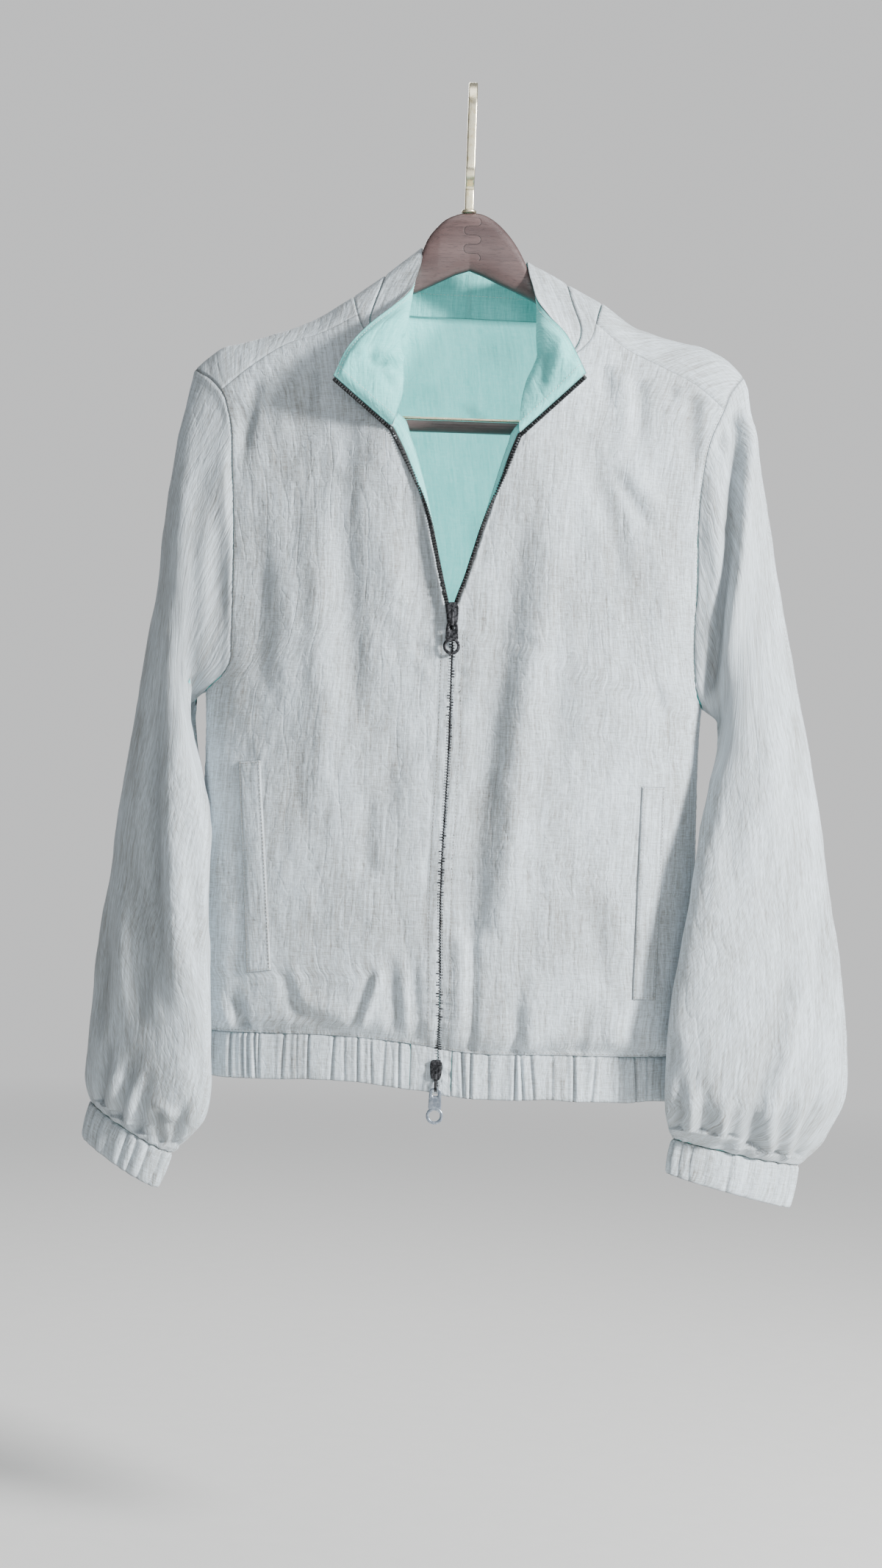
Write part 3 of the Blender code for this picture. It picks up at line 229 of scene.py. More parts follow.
# Folds seen from the front, a row each: height (below 0 a trough), width, how gently the two ends
# fade (shares of its length), and the points x, z that it runs through
FRONT_FOLDS = {
    LEFT: [
        (-2.2, 11, 0.5, 0.3, ((-91, -255), (-92, -362), (-83, -469), (-78, -540))),
        (-1.6, 8, 0.4, 0.1, ((-65, -576), (-65, -617), (-62, -656))),
        (2.2, 16, 0.4, 0.4, ((-111, -315), (-113, -423), (-104, -541), (-99, -648))),
        (-1.4, 6, 0.3, 0.5, ((-179, -266), (-179, -294), (-176, -330))),
        (-1.2, 5, 0.2, 0.5, ((-170, -246), (-173, -282), (-181, -326))),
        (-1.4, 6, 0.1, 0.6, ((-123, -240), (-124, -264), (-125, -292))),
        (-3.2, 17, 0.5, 0.4, ((-42, -325), (-30, -372), (-21, -419), (-15, -479))),
        (1.6, 12, 0.5, 0.5, ((-62, -361), (-50, -420), (-34, -479))),
        (-0.9, 4, 0.4, 0.5, ((-54, -432), (-44, -436), (-34, -444))),
        (-0.9, 4.5, 0.3, 0.5, ((-35, -462), (-25, -470), (-17, -482))),
        (0.9, 5, 0.3, 0.5, ((-30, -479), (-22, -487), (-15, -497))),
        (-0.8, 4, 0.5, 0.5, ((-128, -452), (-121, -453), (-114, -458))),
        (-2.2, 4.5, 0.5, 0.05, ((-181, -751), (-168, -767), (-162, -785))),
        (-1.9, 4, 0.5, 0.05, ((-174, -747), (-164, -765), (-158, -785))),
        (1.8, 6, 0.5, 0.05, ((-179, -763), (-172, -776), (-170, -785))),
        (-1.0, 6, 0.5, 0.2, ((-136, -728), (-128, -739), (-120, -762), (-116, -775))),
        (0.9, 6, 0.5, 0.2, ((-128, -725), (-120, -738), (-111, -763))),
        (-1.1, 6.5, 0.4, 0.4, ((-136, -764), (-113, -768), (-89, -776), (-65, -780))),
        (1.1, 8, 0.4, 0.4, ((-131, -754), (-107, -758), (-83, -766), (-68, -773))),
        (1.6, 4, 0.3, 0.1, ((-49, -726), (-55, -748), (-66, -779))),
        (-1.2, 4.5, 0.3, 0.1, ((-56, -725), (-62, -745), (-71, -779))),
        (-2.2, 6, 0.5, 0.1, ((-47, -706), (-40, -741), (-36, -782))),
        (-1.6, 5, 0.5, 0.1, ((-29, -704), (-23, -747), (-17, -789))),
        (1.2, 6, 0.5, 0.2, ((-35, -711), (-29, -747), (-26, -784))),
        (-1.4, 9, 0.5, 0.4, ((-164, -329), (-160, -424), (-159, -531))),
        (1.3, 10, 0.5, 0.4, ((-142, -364), (-136, -459), (-135, -554))),
        (-1.2, 10, 0.5, 0.5, ((-45, -515), (-48, -587), (-42, -658))),
    ],
    RIGHT: [
        (-3.4, 13, 0.4, 0.1, ((68, -266), (47, -417), (32, -549), (23, -656), (22, -709))),
        (-2.4, 4, 0.3, 0.05, ((20, -680), (24, -715), (25, -763), (25, -797))),
        (2.4, 14, 0.4, 0.3, ((87, -273), (72, -416), (55, -548), (50, -655), (45, -762))),
        (1.6, 8, 0.5, 0.2, ((9, -645), (14, -716), (16, -787))),
        (-1.5, 6, 0.1, 0.6, ((117, -228), (118, -248), (121, -275))),
        (-1.7, 7, 0.1, 0.6, ((144, -238), (147, -271), (146, -310))),
        (1.2, 8, 0.1, 0.5, ((130, -233), (133, -271), (133, -319))),
        (-1.3, 5, 0.1, 0.6, ((173, -243), (173, -252), (175, -265))),
        (-2.2, 7, 0.1, 0.5, ((191, -248), (191, -269), (191, -299), (191, -341))),
        (-1.5, 6, 0.4, 0.4, ((118, -307), (139, -338), (162, -369))),
        (1.1, 9, 0.4, 0.4, ((130, -301), (151, -332), (174, -363))),
        (-1.6, 10, 0.4, 0.5, ((102, -272), (111, -320), (133, -390), (138, -450))),
        (-1.1, 5, 0.5, 0.5, ((166, -484), (171, -503), (175, -520))),
        (-1.8, 5, 0.6, 0.05, ((64, -732), (62, -762), (62, -797))),
        (1.5, 8, 0.5, 0.1, ((73, -737), (74, -767), (72, -795))),
        (-1.5, 11, 0.5, 0.3, ((118, -641), (123, -688), (131, -747))),
        (-1.5, 6, 0.6, 0.05, ((120, -739), (118, -772), (110, -795))),
        (1.2, 9, 0.5, 0.3, ((146, -753), (142, -771), (139, -790))),
        (-1.2, 5, 0.5, 0.05, ((162, -764), (162, -779), (162, -794))),
        (-0.9, 5, 0.4, 0.5, ((49, -465), (60, -462), (73, -466))),
        (-1.0, 5, 0.3, 0.6, ((-3, -371), (10, -368), (24, -362))),
        (1.3, 12, 0.5, 0.5, ((164, -353), (171, -425), (169, -508))),
        (-1.4, 12, 0.5, 0.5, ((84, -440), (90, -523), (87, -594))),
    ],
}
SLEEVE_FOLDS = {
    LEFT: [
        (-2.0, 9, 0.5, 0.3, ((-210, -283), (-215, -367), (-218, -462), (-222, -545))),
        (-3.2, 8, 0.5, 0.4,
         ((-239, -463), (-243, -534), (-242, -584), (-237, -659), (-229, -734), (-225, -784))),
        (2.6, 10, 0.5, 0.4, ((-224, -486), (-225, -584), (-220, -658), (-213, -734), (-210, -783))),
        (-2.8, 8, 0.5, 0.3, ((-255, -630), (-251, -683), (-244, -743), (-244, -804))),
        (2.4, 9, 0.5, 0.4, ((-263, -654), (-261, -719), (-260, -785))),
        (-2.2, 7, 0.5, 0.3, ((-276, -676), (-279, -744), (-282, -811))),
        (-2.0, 8, 0.5, 0.4, ((-196, -330), (-196, -402), (-196, -485))),
        (1.6, 8, 0.5, 0.4, ((-192, -283), (-191, -342), (-191, -413))),
        (-2.2, 5, 0.5, 0.02, ((-271, -786), (-272, -811), (-276, -850))),
        (-2.4, 5, 0.5, 0.02, ((-246, -797), (-251, -823), (-261, -860))),
        (-2.4, 5, 0.5, 0.02, ((-232, -808), (-241, -844), (-243, -871))),
        (-2.0, 4, 0.5, 0.02, ((-219, -837), (-227, -859), (-224, -880))),
        (-2.2, 5, 0.5, 0.02, ((-201, -833), (-209, -856), (-214, -882))),
        (2.0, 6, 0.5, 0.05, ((-260, -809), (-266, -833), (-270, -852))),
        (2.2, 6, 0.5, 0.05, ((-239, -814), (-248, -844), (-253, -863))),
        (-1.4, 4, 0.4, 0.4, ((-233, -851), (-223, -855), (-212, -867))),
        (1.8, 5, 0.4, 0.4, ((-232, -843), (-221, -848), (-209, -860))),
        (-1.2, 6, 0.5, 0.5, ((-206, -616), (-200, -688), (-193, -771))),
        (-1.2, 5, 0.5, 0.5, ((-197, -771), (-191, -812), (-199, -842))),
    ],
    RIGHT: [
        (-5.0, 5, 0.12, 0.2,
         ((230, -255), (230, -277), (225, -333), (222, -388), (217, -431), (213, -484), (210, -503))),
        (3.4, 8, 0.2, 0.3, ((236, -256), (237, -291), (234, -345), (230, -399), (226, -446), (221, -494))),
        (-1.3, 5, 0.3, 0.5, ((209, -274), (215, -292), (223, -311))),
        (1.4, 8, 0.4, 0.4, ((205, -292), (209, -352), (209, -411))),
        (-1.2, 4, 0.4, 0.5, ((223, -351), (220, -361), (218, -369))),
        (-2.2, 8, 0.5, 0.3, ((291, -691), (282, -729), (276, -767), (268, -797))),
        (2.4, 8, 0.5, 0.3, ((286, -742), (282, -766), (279, -808))),
        (-2.2, 5, 0.6, 0.02, ((194, -799), (195, -823), (195, -852))),
        (-2.6, 5, 0.6, 0.02, ((208, -798), (214, -829), (214, -853))),
        (-2.0, 4, 0.6, 0.02, ((223, -827), (223, -839), (225, -855))),
        (-2.2, 5, 0.6, 0.02, ((246, -814), (239, -838), (238, -858))),
        (-3.6, 6, 0.6, 0.02, ((270, -777), (267, -800), (256, -842), (255, -866))),
        (-2.2, 5, 0.5, 0.02, ((264, -829), (262, -850), (265, -868))),
        (-2.4, 6, 0.5, 0.02, ((293, -813), (279, -843), (279, -872))),
        (-2.0, 6, 0.5, 0.02, ((318, -810), (303, -841), (293, -874))),
        (2.2, 6, 0.5, 0.05, ((203, -810), (204, -831), (204, -852))),
        (2.0, 6, 0.5, 0.05, ((230, -815), (230, -836), (231, -856))),
        (2.4, 7, 0.5, 0.05, ((278, -808), (270, -838), (272, -869))),
        (2.0, 7, 0.5, 0.05, ((306, -807), (292, -843), (286, -873))),
        (-1.4, 12, 0.5, 0.5, ((236, -529), (233, -613), (230, -702))),
        (1.4, 14, 0.5, 0.5, ((263, -469), (264, -564), (262, -659))),
        (-1.2, 8, 0.5, 0.5, ((305, -634), (312, -699), (316, -753))),
        (-1.5, 9, 0.5, 0.5, ((181, -758), (187, -793), (191, -829))),
    ],
}
BACK_FOLDS = [
    (-2.6, 14, 0.4, 0.4, ((-120, -250), (-112, -420), (-124, -640))),
    (2.2, 18, 0.4, 0.4, ((-84, -300), (-78, -480), (-88, -700))),
    (-2.2, 12, 0.3, 0.4, ((118, -250), (106, -400), (112, -600))),
    (2.0, 16, 0.4, 0.4, ((64, -330), (58, -520), (66, -730))),
    (-1.8, 12, 0.4, 0.1, ((8, -420), (2, -560), (10, -700), (6, -796))),
    (-2.0, 7, 0.5, 0.05, ((-44, -700), (-38, -750), (-40, -800))),
    (-1.9, 6, 0.5, 0.05, ((-92, -690), (-100, -750), (-97, -798))),
    (-2.2, 7, 0.5, 0.05, ((52, -690), (46, -750), (49, -800))),
    (-1.8, 6, 0.5, 0.05, ((104, -710), (112, -760), (108, -800))),
    (-2.0, 7, 0.5, 0.05, ((150, -700), (144, -750), (149, -796))),
    (-2.0, 6, 0.5, 0.05, ((-150, -720), (-144, -760), (-148, -796))),
    (-1.6, 7, 0.2, 0.6, ((-168, -262), (-160, -320), (-164, -390))),
    (-1.6, 7, 0.2, 0.6, ((172, -258), (166, -320), (172, -400))),
    (1.4, 9, 0.4, 0.4, ((-150, -420), (-120, -452), (-80, -470))),
    (-1.4, 8, 0.4, 0.4, ((150, -440), (120, -476), (84, -500))),
]
BACK_SLEEVE_FOLDS = {
    LEFT: [
        (-2.4, 9, 0.4, 0.4, ((-228, -330), (-240, -480), (-252, -640))),
        (2.0, 10, 0.4, 0.4, ((-212, -380), (-222, -520), (-226, -680))),
        (-2.4, 7, 0.5, 0.1, ((-262, -640), (-268, -760), (-262, -850))),
        (-2.4, 7, 0.5, 0.1, ((-226, -660), (-236, -770), (-240, -862))),
        (-2.2, 6, 0.5, 0.02, ((-280, -790), (-276, -830), (-268, -856))),
        (-2.2, 6, 0.5, 0.02, ((-206, -790), (-218, -840), (-228, -876))),
    ],
    RIGHT: [
        (-2.6, 8, 0.4, 0.4, ((236, -330), (238, -460), (232, -600))),
        (2.0, 10, 0.4, 0.4, ((260, -380), (272, -520), (280, -680))),
        (-2.4, 8, 0.5, 0.1, ((246, -640), (250, -760), (256, -860))),
        (-2.4, 7, 0.5, 0.1, ((300, -660), (298, -770), (284, -868))),
        (-2.2, 6, 0.5, 0.02, ((212, -770), (216, -820), (220, -856))),
        (-2.2, 6, 0.5, 0.02, ((322, -780), (308, -830), (292, -870))),
    ],
}
# Folds of the collar's inside, as x, z in the front view
FLAP_FOLDS = [
    (-1.6, 3.5, 0.5, 0.2, ((-77, -230), (-76, -236), (-70, -241), (-61, -241))),
    (1.8, 4, 0.5, 0.1, ((-75, -232), (-66, -233), (-57, -236), (-49, -242))),
    (-1.6, 3.5, 0.5, 0.1, ((-72, -238), (-60, -241), (-49, -245))),
    (1.2, 4, 0.4, 0.3, ((-68, -243), (-61, -249), (-51, -254))),
    (-1.3, 4, 0.3, 0.4, ((-53, -212), (-51, -219), (-49, -226))),
    (-1.0, 4, 0.4, 0.4, ((-69, -248), (-61, -255), (-54, -266))),
    (0.9, 5, 0.4, 0.4, ((-87, -225), (-83, -231), (-78, -237))),
    (-1.5, 5, 0.3, 0.4, ((65, -220), (67, -235), (64, -250), (61, -265))),
    (1.4, 6, 0.4, 0.4, ((74, -208), (79, -225), (76, -246))),
    (-1.0, 4, 0.4, 0.4, ((82, -219), (87, -228), (91, -237))),
]
# Folds of the back's lining, as x, z in the front view
BACK_LINING_FOLDS = [
    (1.6, 7, 0.4, 0.5, ((-4, -249), (12, -266), (37, -283))),
    (-1.4, 6, 0.5, 0.4, ((-7, -255), (6, -268), (28, -287))),
    (-1.0, 6, 0.4, 0.4, ((-36, -224), (-27, -229), (-19, -228))),
]
# Folds of the waistband: x of each at its top, how far it slants to its foot, depth
BAND_FOLDS = {
    "left": [
        (-173.2, 1, 1.2), (-162.5, 1.5, 1.5), (-158.4, 2, 1.3), (-152.4, 2, 1.6), (-148.9, 1, 1.2),
        (-128.1, -1, 1.0), (-117.4, 1, 0.6), (-107.9, 0.5, 1.1), (-87.0, -1, 1.0), (-78.1, 1, 0.6),
        (-67.4, 1, 1.3), (-56.7, 2, 1.0), (-44.8, -1, 0.7), (-33.6, 1, 1.2),
    ],
    "right": [
        (17.6, 3, 1.5), (25.3, 0.5, 1.6), (39.6, 1, 0.6), (61.6, 0.5, 1.6), (65.7, 3.5, 1.4),
        (74.0, 4, 0.8), (91.9, 1, 0.6), (109.7, 1, 1.5), (127.5, -2, 0.7), (147.1, 1, 0.6),
        (160.8, 2.5, 1.4), (170.9, 1, 0.8),
    ],
}


def through(rows, column, at):
    """Smooth curve through a table: cubic pieces, each row's slope taken from its neighbours."""
    table = np.array(rows, dtype=float)
    x, y = table[:, 0], table[:, column]
    if x[0] > x[-1]:
        x, y = x[::-1], y[::-1]
    step = np.diff(x)
    chord = np.diff(y) / step
    slope = np.empty_like(y)
    slope[0], slope[-1] = chord[0], chord[-1]
    slope[1:-1] = (chord[:-1] * step[1:] + chord[1:] * step[:-1]) / (step[:-1] + step[1:])
    slope[1:-1] = np.where(chord[:-1] * chord[1:] <= 0, 0, slope[1:-1])
    at = np.clip(np.asarray(at, dtype=float), x[0], x[-1])
    i = np.clip(np.searchsorted(x, at) - 1, 0, len(step) - 1)
    t = (at - x[i]) / step[i]
    h = step[i]
    return ((2 * t**3 - 3 * t**2 + 1) * y[i] + (t**3 - 2 * t**2 + t) * h * slope[i]
            + (3 * t**2 - 2 * t**3) * y[i + 1] + (t**3 - t**2) * h * slope[i + 1])


def curve(rows, columns, at):
    """Several columns of a table as smooth curves, side by side as coordinates."""
    return np.stack([through(rows, column, at) for column in columns], axis=-1)


def ease(t):
    """0 below 0, 1 above 1, with level ends."""
    t = np.clip(t, 0, 1)
    return t * t * (3 - 2 * t)


def peak(gap, width):
    """Round peak over a gap from its middle: exp(-(gap / width) squared)."""
    return np.exp(-(gap / width)**2)


def spot(x, y, z):
    """Points from three coordinates: numbers, or arrays whose shapes go together."""
    return np.stack(np.broadcast_arrays(x, y, z), axis=-1)


def unit(v):
    """Vectors of length 1."""
    return v / np.maximum(np.linalg.norm(v, axis=-1, keepdims=True), 1e-9)


def squared(wave, power):
    """A cosine or sine with its size raised to a power and its sign kept: below 1 it squares a circle."""
    return np.sign(wave) * np.abs(wave)**power


def turns(count):
    """Angles spread evenly round a circle."""
    return np.linspace(0, 2 * math.pi, count + 1)[:-1]


def band_top(x, back=0.0):
    """Height of the seam between body and waistband."""
    return through(BAND_TOP, 1, x) - BACK_DROP * back * np.clip(1 - (np.abs(x) / 205)**4, 0, 1)


def body_level(z, hem):
    """Height to look up in BODY: towards the hem its levels follow the waistband's seam, there at -790."""
    return z - (hem + 790) * ease((-z - 650) / 140)


def depth(x, z, face):
    """Distance of the body from the shoulder plane: a squared oval level section."""
    z = body_level(z, band_top(x, face > 0))
    half = np.where(x < 0, through(BODY, 1, z), through(BODY, 2, z))
    deep = through(BODY, 3 if face < 0 else 4, z)
    return deep * np.clip(1 - (np.abs(x) / half)**SQUARE, 0, 1)**(1 / SQUARE)


def crest_share(x, z):
    """0 on the shoulder line, rising with a round top towards 1: the root of 1 - exp(-fall)."""
    fall = np.maximum(through(CREST, 1, x) - z, 0) / CREST_FALL
    return np.sqrt(1 - np.exp(-fall))


def lapel_lift(x, z):
    """How far the open fronts swing forward beside the neck."""
    return 13 * peak(np.abs(x + 4) - 52, 48) * ease((z + 430) / 130) * ease((-z - 205) / 60)


def body_point(x, z, face):
    """Point of the body's outer face at x and z, on its FRONT or its BACK."""
    y = face * depth(x, z, face) * crest_share(x, z)
    if face < 0:
        y = y - lapel_lift(x, z)
    return spot(x, y, z)


def body_normal(x, z, face):
    """Outward normal of the body form, from small steps along x and down; level on the crest."""
    x, z = np.asarray(x, dtype=float), np.asarray(z, dtype=float)
    across = body_point(x + 0.5, z, face) - body_point(x - 0.5, z, face)
    down = body_point(x, z - 0.5, face) - body_point(x, z, face)
    slope = through(CREST, 1, x + 0.5) - through(CREST, 1, x - 0.5)
    near = np.clip(1 - (through(CREST, 1, x) - z) / 4.0, 0, 1)[..., None]
    return unit(unit(np.cross(across, down) * face) * (1 - near) + unit(spot(-slope, 0, 1)) * near)


def arm_x(side, z):
    """Armhole seam seen from the front."""
    return through(ARM[side], 1, z)


def zip_x(side, z):
    """Front edge of the cloth beside the zip."""
    return through(ZIP[side], 1, z)


NECK_STEPS = np.array([0, 1, 2, 3, 4, 4.8, 5.2, 5.6, 6, 6.333, 6.667, 7, 7.5, 8, 8.5, 9])


def neck_table():
    """Neck seam on the body form at a few stations, which a smooth curve joins: station, x, y, z."""
    s = np.concatenate([NECK_STEPS, LAST_STATION - NECK_STEPS[-2::-1]])
    x, z = through(COLLAR_ROWS, 1, s), through(COLLAR_ROWS, 2, s)
    behind = (s > LEFT_CREST) & (s < RIGHT_CREST)
    seam = np.where(behind[:, None], body_point(x, z, BACK), body_point(x, z, FRONT))
    return np.column_stack([s, seam])


def neck_point(s):
    """Neck seam at station s."""
    return curve(NECK, (1, 2, 3), s)


NECK = neck_table()


def mirrored(side, s):
    """Station s of the left half of the neck, or the one across from it."""
    return s if side < 0 else LAST_STATION - s


def neck_station(side, t):
    """Station of the front part of the neck seam: t 0 at the yoke seam, then five steps to the zip."""
    return mirrored(side, np.interp(t, [0, 0.2, 0.4, 0.6, 0.8, 1], [4.8, 4, 3, 2, 1, 0]))


def yoke(side):
    """Forward shoulder seam, from its corner on the neck seam to the armhole."""
    corner = neck_point(neck_station(side, 0.0))
    return [(float(corner[0]), float(corner[2]))] + YOKE[side]


def half_width(side, z):
    """Half width of the body at its side seam."""
    return through(BODY, 1 if side < 0 else 2, body_level(z, band_top(side * 200.0))) - 0.02


def arm_over(side, turn):
    """Height on the armhole where it passes over the shoulder: turn 1 at the yoke seam, 0 on top."""
    top, corner = ARM[side][0][0], YOKE[side][-1][1]
    return top + (corner - top) * turn**2


def arm_share(t):
    """Spacing of the armhole rows: they close up towards the underarm, half even and half as the sine."""
    t = np.clip(t, 0, 1)
    return (t + np.sin(t * math.pi / 2)) / 2


def outer_seam(side, share, start, arm, hem):
    """Armhole from its start to the underarm over the first rows, then the side seam to the hem: x and z."""
    by_arm = share < arm
    z = np.where(by_arm, start + (UNDERARM - start) * arm_share(share / arm),
                 UNDERARM + (hem - UNDERARM) * (share - arm) / (1 - arm))
    return np.where(by_arm, arm_x(side, z), side * half_width(side, z)), z


def closed_up(across, rows, arm):
    """Columns spread evenly beside the armhole, and as a sine below it, where the side turns away."""
    turn = ease((rows - arm + 0.16) / 0.2)[:, None]
    return across * (1 - turn) + np.sin(across * math.pi / 2) * turn


def back_neck_station(side, turn):
    """Neck station of the back panel's row: the yoke corner at turn 1, over the crest, to behind it."""
    return mirrored(side, LEFT_CREST - np.where(turn > 0, NECK_CORNER * turn, turn))


# Small moves of the collar's top edge: station, reach in stations, x, z
COLLAR_TRIM = [(5.6, 1.0, 3.6, -4.0), (11.0, 0.75, -3.0, -10.0), (12.4, 0.8, -3.0, -1.0)]


def collar_point(s, t):
    """Collar's outer face: s counts the stations of COLLAR, t is 0 at the neck seam and 1 at the top edge."""
    base, top = neck_point(s), curve(COLLAR_ROWS, (3, 4, 5), s)
    for station, reach, x, z in COLLAR_TRIM:
        top = top + np.array([x, 0, z]) * peak(s - station, reach)[..., None]
    t = np.asarray(t)[..., None]
    roll = through(COLLAR_ROWS, 6, s)[..., None] * np.sin(math.pi * t)
    return base + (top - base) * t - roll * np.array([0, 1.0, 0])


# ---- numpy tools ----

LATTICE = np.random.default_rng(11).uniform(-1, 1, (32, 32, 32))


def crumple(points, size):
    """Smooth noise, mostly within 1 of 0: random values on a lattice of cells of this size."""
    q = np.asarray(points, dtype=float) / np.asarray(size, dtype=float)
    cell = np.floor(q).astype(int)
    inner = ease(q - cell)
    total = 0
    for corner in np.ndindex(2, 2, 2):
        share = np.prod(np.where(corner, inner, 1 - inner), axis=-1)
        i, j, k = ((cell[..., n] + corner[n]) % len(LATTICE) for n in range(3))
        total = total + share * LATTICE[i, j, k]
    return total * 1.5


RELIEF = 2.0        # all the placed folds stand this many times their listed heights


def folds(x, z, table):
    """Heights of listed folds: across each one exp(-(distance / width) squared), level at its middle.

    The line through a fold's points is smooth, and its height fades at both ends.
    """
    total = np.zeros_like(x)
    for height, width, first, last, points in table:
        rows = np.column_stack([np.arange(len(points)), points])
        length = np.linalg.norm(np.diff(np.array(points, float), axis=0), axis=1).sum()
        at = np.linspace(0, len(points) - 1, int(max(12, 3 * length / width)))
        line = curve(rows, (1, 2), at)
        middle, half = line.mean(axis=0), np.ptp(line, axis=0) / 2 + 3 * width + 2
        near = np.flatnonzero((np.abs(x - middle[0]) < half[0]) & (np.abs(z - middle[1]) < half[1]))
        if not len(near):
            continue
        gap = np.hypot(x.flat[near][:, None] - line[:, 0], z.flat[near][:, None] - line[:, 1])
        t = gap.argmin(axis=1) / (len(at) - 1)
        fade = ease(t / max(first, 0.01)) * ease((1 - t) / max(last, 0.01))
        total.flat[near] += RELIEF * height * peak(gap.min(axis=1), width) * fade
    return total


def grid_normals(grid, closed=False, flip=1):
    """Unit normals of a grid: the cross product of its steps along the rows and down the columns."""
    if closed:
        wide = np.concatenate([grid[:, -2:-1], grid, grid[:, 1:2]], axis=1)
        across = wide[:, 2:] - wide[:, :-2]
    else:
        across = np.gradient(grid, axis=1)
    return unit(np.cross(across, np.gradient(grid, axis=0))) * flip


def run_of(grid, axis):
    """Length along a line, or a grid's rows (axis 1) or columns (axis 0), from the first point."""
    step = np.linalg.norm(np.diff(grid, axis=axis), axis=-1)
    start = np.zeros_like(step[:1]) if axis == 0 else np.zeros_like(step[:, :1])
    return np.concatenate([start, np.cumsum(step, axis=axis)], axis=axis)


def edge_gap(grid, sides):
    """Distance of every point from the nearest of the named edges (t, b, l, r), along the grid."""
    down, across = run_of(grid, 0), run_of(grid, 1)
    gaps = {"t": down, "b": down[-1:] - down, "l": across, "r": across[:, -1:] - across}
    return np.min([gaps[s] for s in sides], axis=0)


def rolled(grid, sides, deep=0.9, reach=1.1):
    """How far the named edges turn in: deep at the edge, dying away over reach."""
    return -deep * peak(edge_gap(grid, sides), reach)


def puckers(grid, side, pitch, height, reach, seed=0.0):
    """Small gathers along one edge: uneven waves along it that die away within reach."""
    run = run_of(grid, 1 if side in "tb" else 0)
    place = spot(run, seed, 0)
    phase = run / pitch + 0.45 * crumple(place, (pitch * 1.7, 1, 1))
    strength = np.clip(0.55 + 0.6 * crumple(place + 50, (pitch * 2.5, 1, 1)), 0, 1.3)
    return height * np.sin(2 * math.pi * phase) * strength * np.exp(-edge_gap(grid, side) / reach)


def beside(grid, normal, side, gap):
    """Line on a grid at a distance from one of its edges, with the surface's normals along it."""
    if side in "lr":
        grid, normal = grid.swapaxes(0, 1), normal.swapaxes(0, 1)
    if side in "br":
        grid, normal = grid[::-1], normal[::-1]
    run = run_of(grid, 0)
    row = np.clip((run < gap).sum(axis=0), 1, len(grid) - 1)
    column = np.arange(grid.shape[1])
    low, high = run[row - 1, column], run[row, column]
    share = np.clip((gap - low) / np.maximum(high - low, 1e-6), 0, 1)[:, None]
    line = grid[row - 1, column] * (1 - share) + grid[row, column] * share
    return line, unit(normal[row - 1, column] * (1 - share) + normal[row, column] * share)


def first_twice(rows):
    """An array with its first row twice, as a raised grid has it."""
    return np.concatenate([rows[:1], rows])


def raised(grid, normal, height, closed=False):
    """A grid with its heights added, and its normals.

    A row is added at the top edge, where the cloth runs on under its neighbour and turns in.
    """
    if closed:
        height[:, -1] = height[:, 0]
    out = first_twice(grid + normal * height[..., None])
    out[0] = out[1] + unit(out[1] - out[3]) * TUCK_REACH - normal[0] * TUCK_DEPTH
    if closed:
        out[:, -1] = out[:, 0]
    return out, first_twice(normal)


def steps(count, first=0, last=0):
    """Even steps from 0 to 1, with three closer ones at an edge that rolls in."""
    near = np.array([0.12, 0.3, 0.6]) / count
    return np.unique(np.concatenate([np.linspace(0, 1, count + 1), near * first, 1 - near * last]))


# ---- meshes ----

def new_piece(name, points, faces, body, slot, materials, nodes=(), uv=None, smooth=True, hollow=None):
    """Piece from points in millimetres and faces as an array of corner numbers, four to a row.

    The last argument, from 0 to 1 at each point, is painted shade: it darkens the piece in seams, folds and
    edges.
    """
    mesh = bpy.data.meshes.new(name)
    faces = np.asarray(faces, dtype=np.int32)
    mesh.vertices.add(len(points))
    mesh.vertices.foreach_set("co", (np.asarray(points) * MM).astype(np.float32).ravel())
    mesh.loops.add(faces.size)
    mesh.loops.foreach_set("vertex_index", faces.ravel())
    mesh.polygons.add(len(faces))
    mesh.polygons.foreach_set("loop_start", np.arange(0, faces.size, faces.shape[1], dtype=np.int32))
    if uv is not None:
        layer = mesh.uv_layers.new(name="cut")
        layer.data.foreach_set("uv", (np.asarray(uv) * MM).astype(np.float32).ravel())
    if hollow is not None:
        shade = mesh.attributes.new("hollow", "FLOAT", "POINT")
        shade.data.foreach_set("value", np.clip(hollow, 0, 1).astype(np.float32))
    for material in materials:
        mesh.materials.append(material)
    mesh.validate()
    mesh.update()
    if smooth:
        mesh.shade_smooth()
    piece = bpy.data.objects.new(name, mesh)
    bpy.context.scene.collection.objects.link(piece)
    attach(piece, body)
    if nodes:
        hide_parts(*nodes)
    return piece


def shell(piece, thickness, offset):
    """Give a surface a wall: offset -1 puts it behind the surface, 0 half on each side."""
    wall = piece.modifiers.new("shell", "SOLIDIFY")
    wall.thickness, wall.offset = thickness * MM, offset
    return wall


def grid_faces(rows, cols, closed=False, flip=False, keep=None):
    """Corner numbers of a grid's cells, and the same corners counted without the join of a closed grid."""
    r, c = np.meshgrid(np.arange(rows - 1), np.arange(cols - 1), indexing="ij")
    if keep is not None:
        r, c = r[keep], c[keep]
    corner_r = np.stack([r, r, r + 1, r + 1], axis=-1).reshape(-1, 4)
    corner_c = np.stack([c, c + 1, c + 1, c], axis=-1).reshape(-1, 4)
    if flip:
        corner_r, corner_c = corner_r[:, ::-1], corner_c[:, ::-1]
    plain = corner_r * cols + corner_c
    wide = cols - 1 if closed else cols
    return corner_r * wide + corner_c % wide, plain


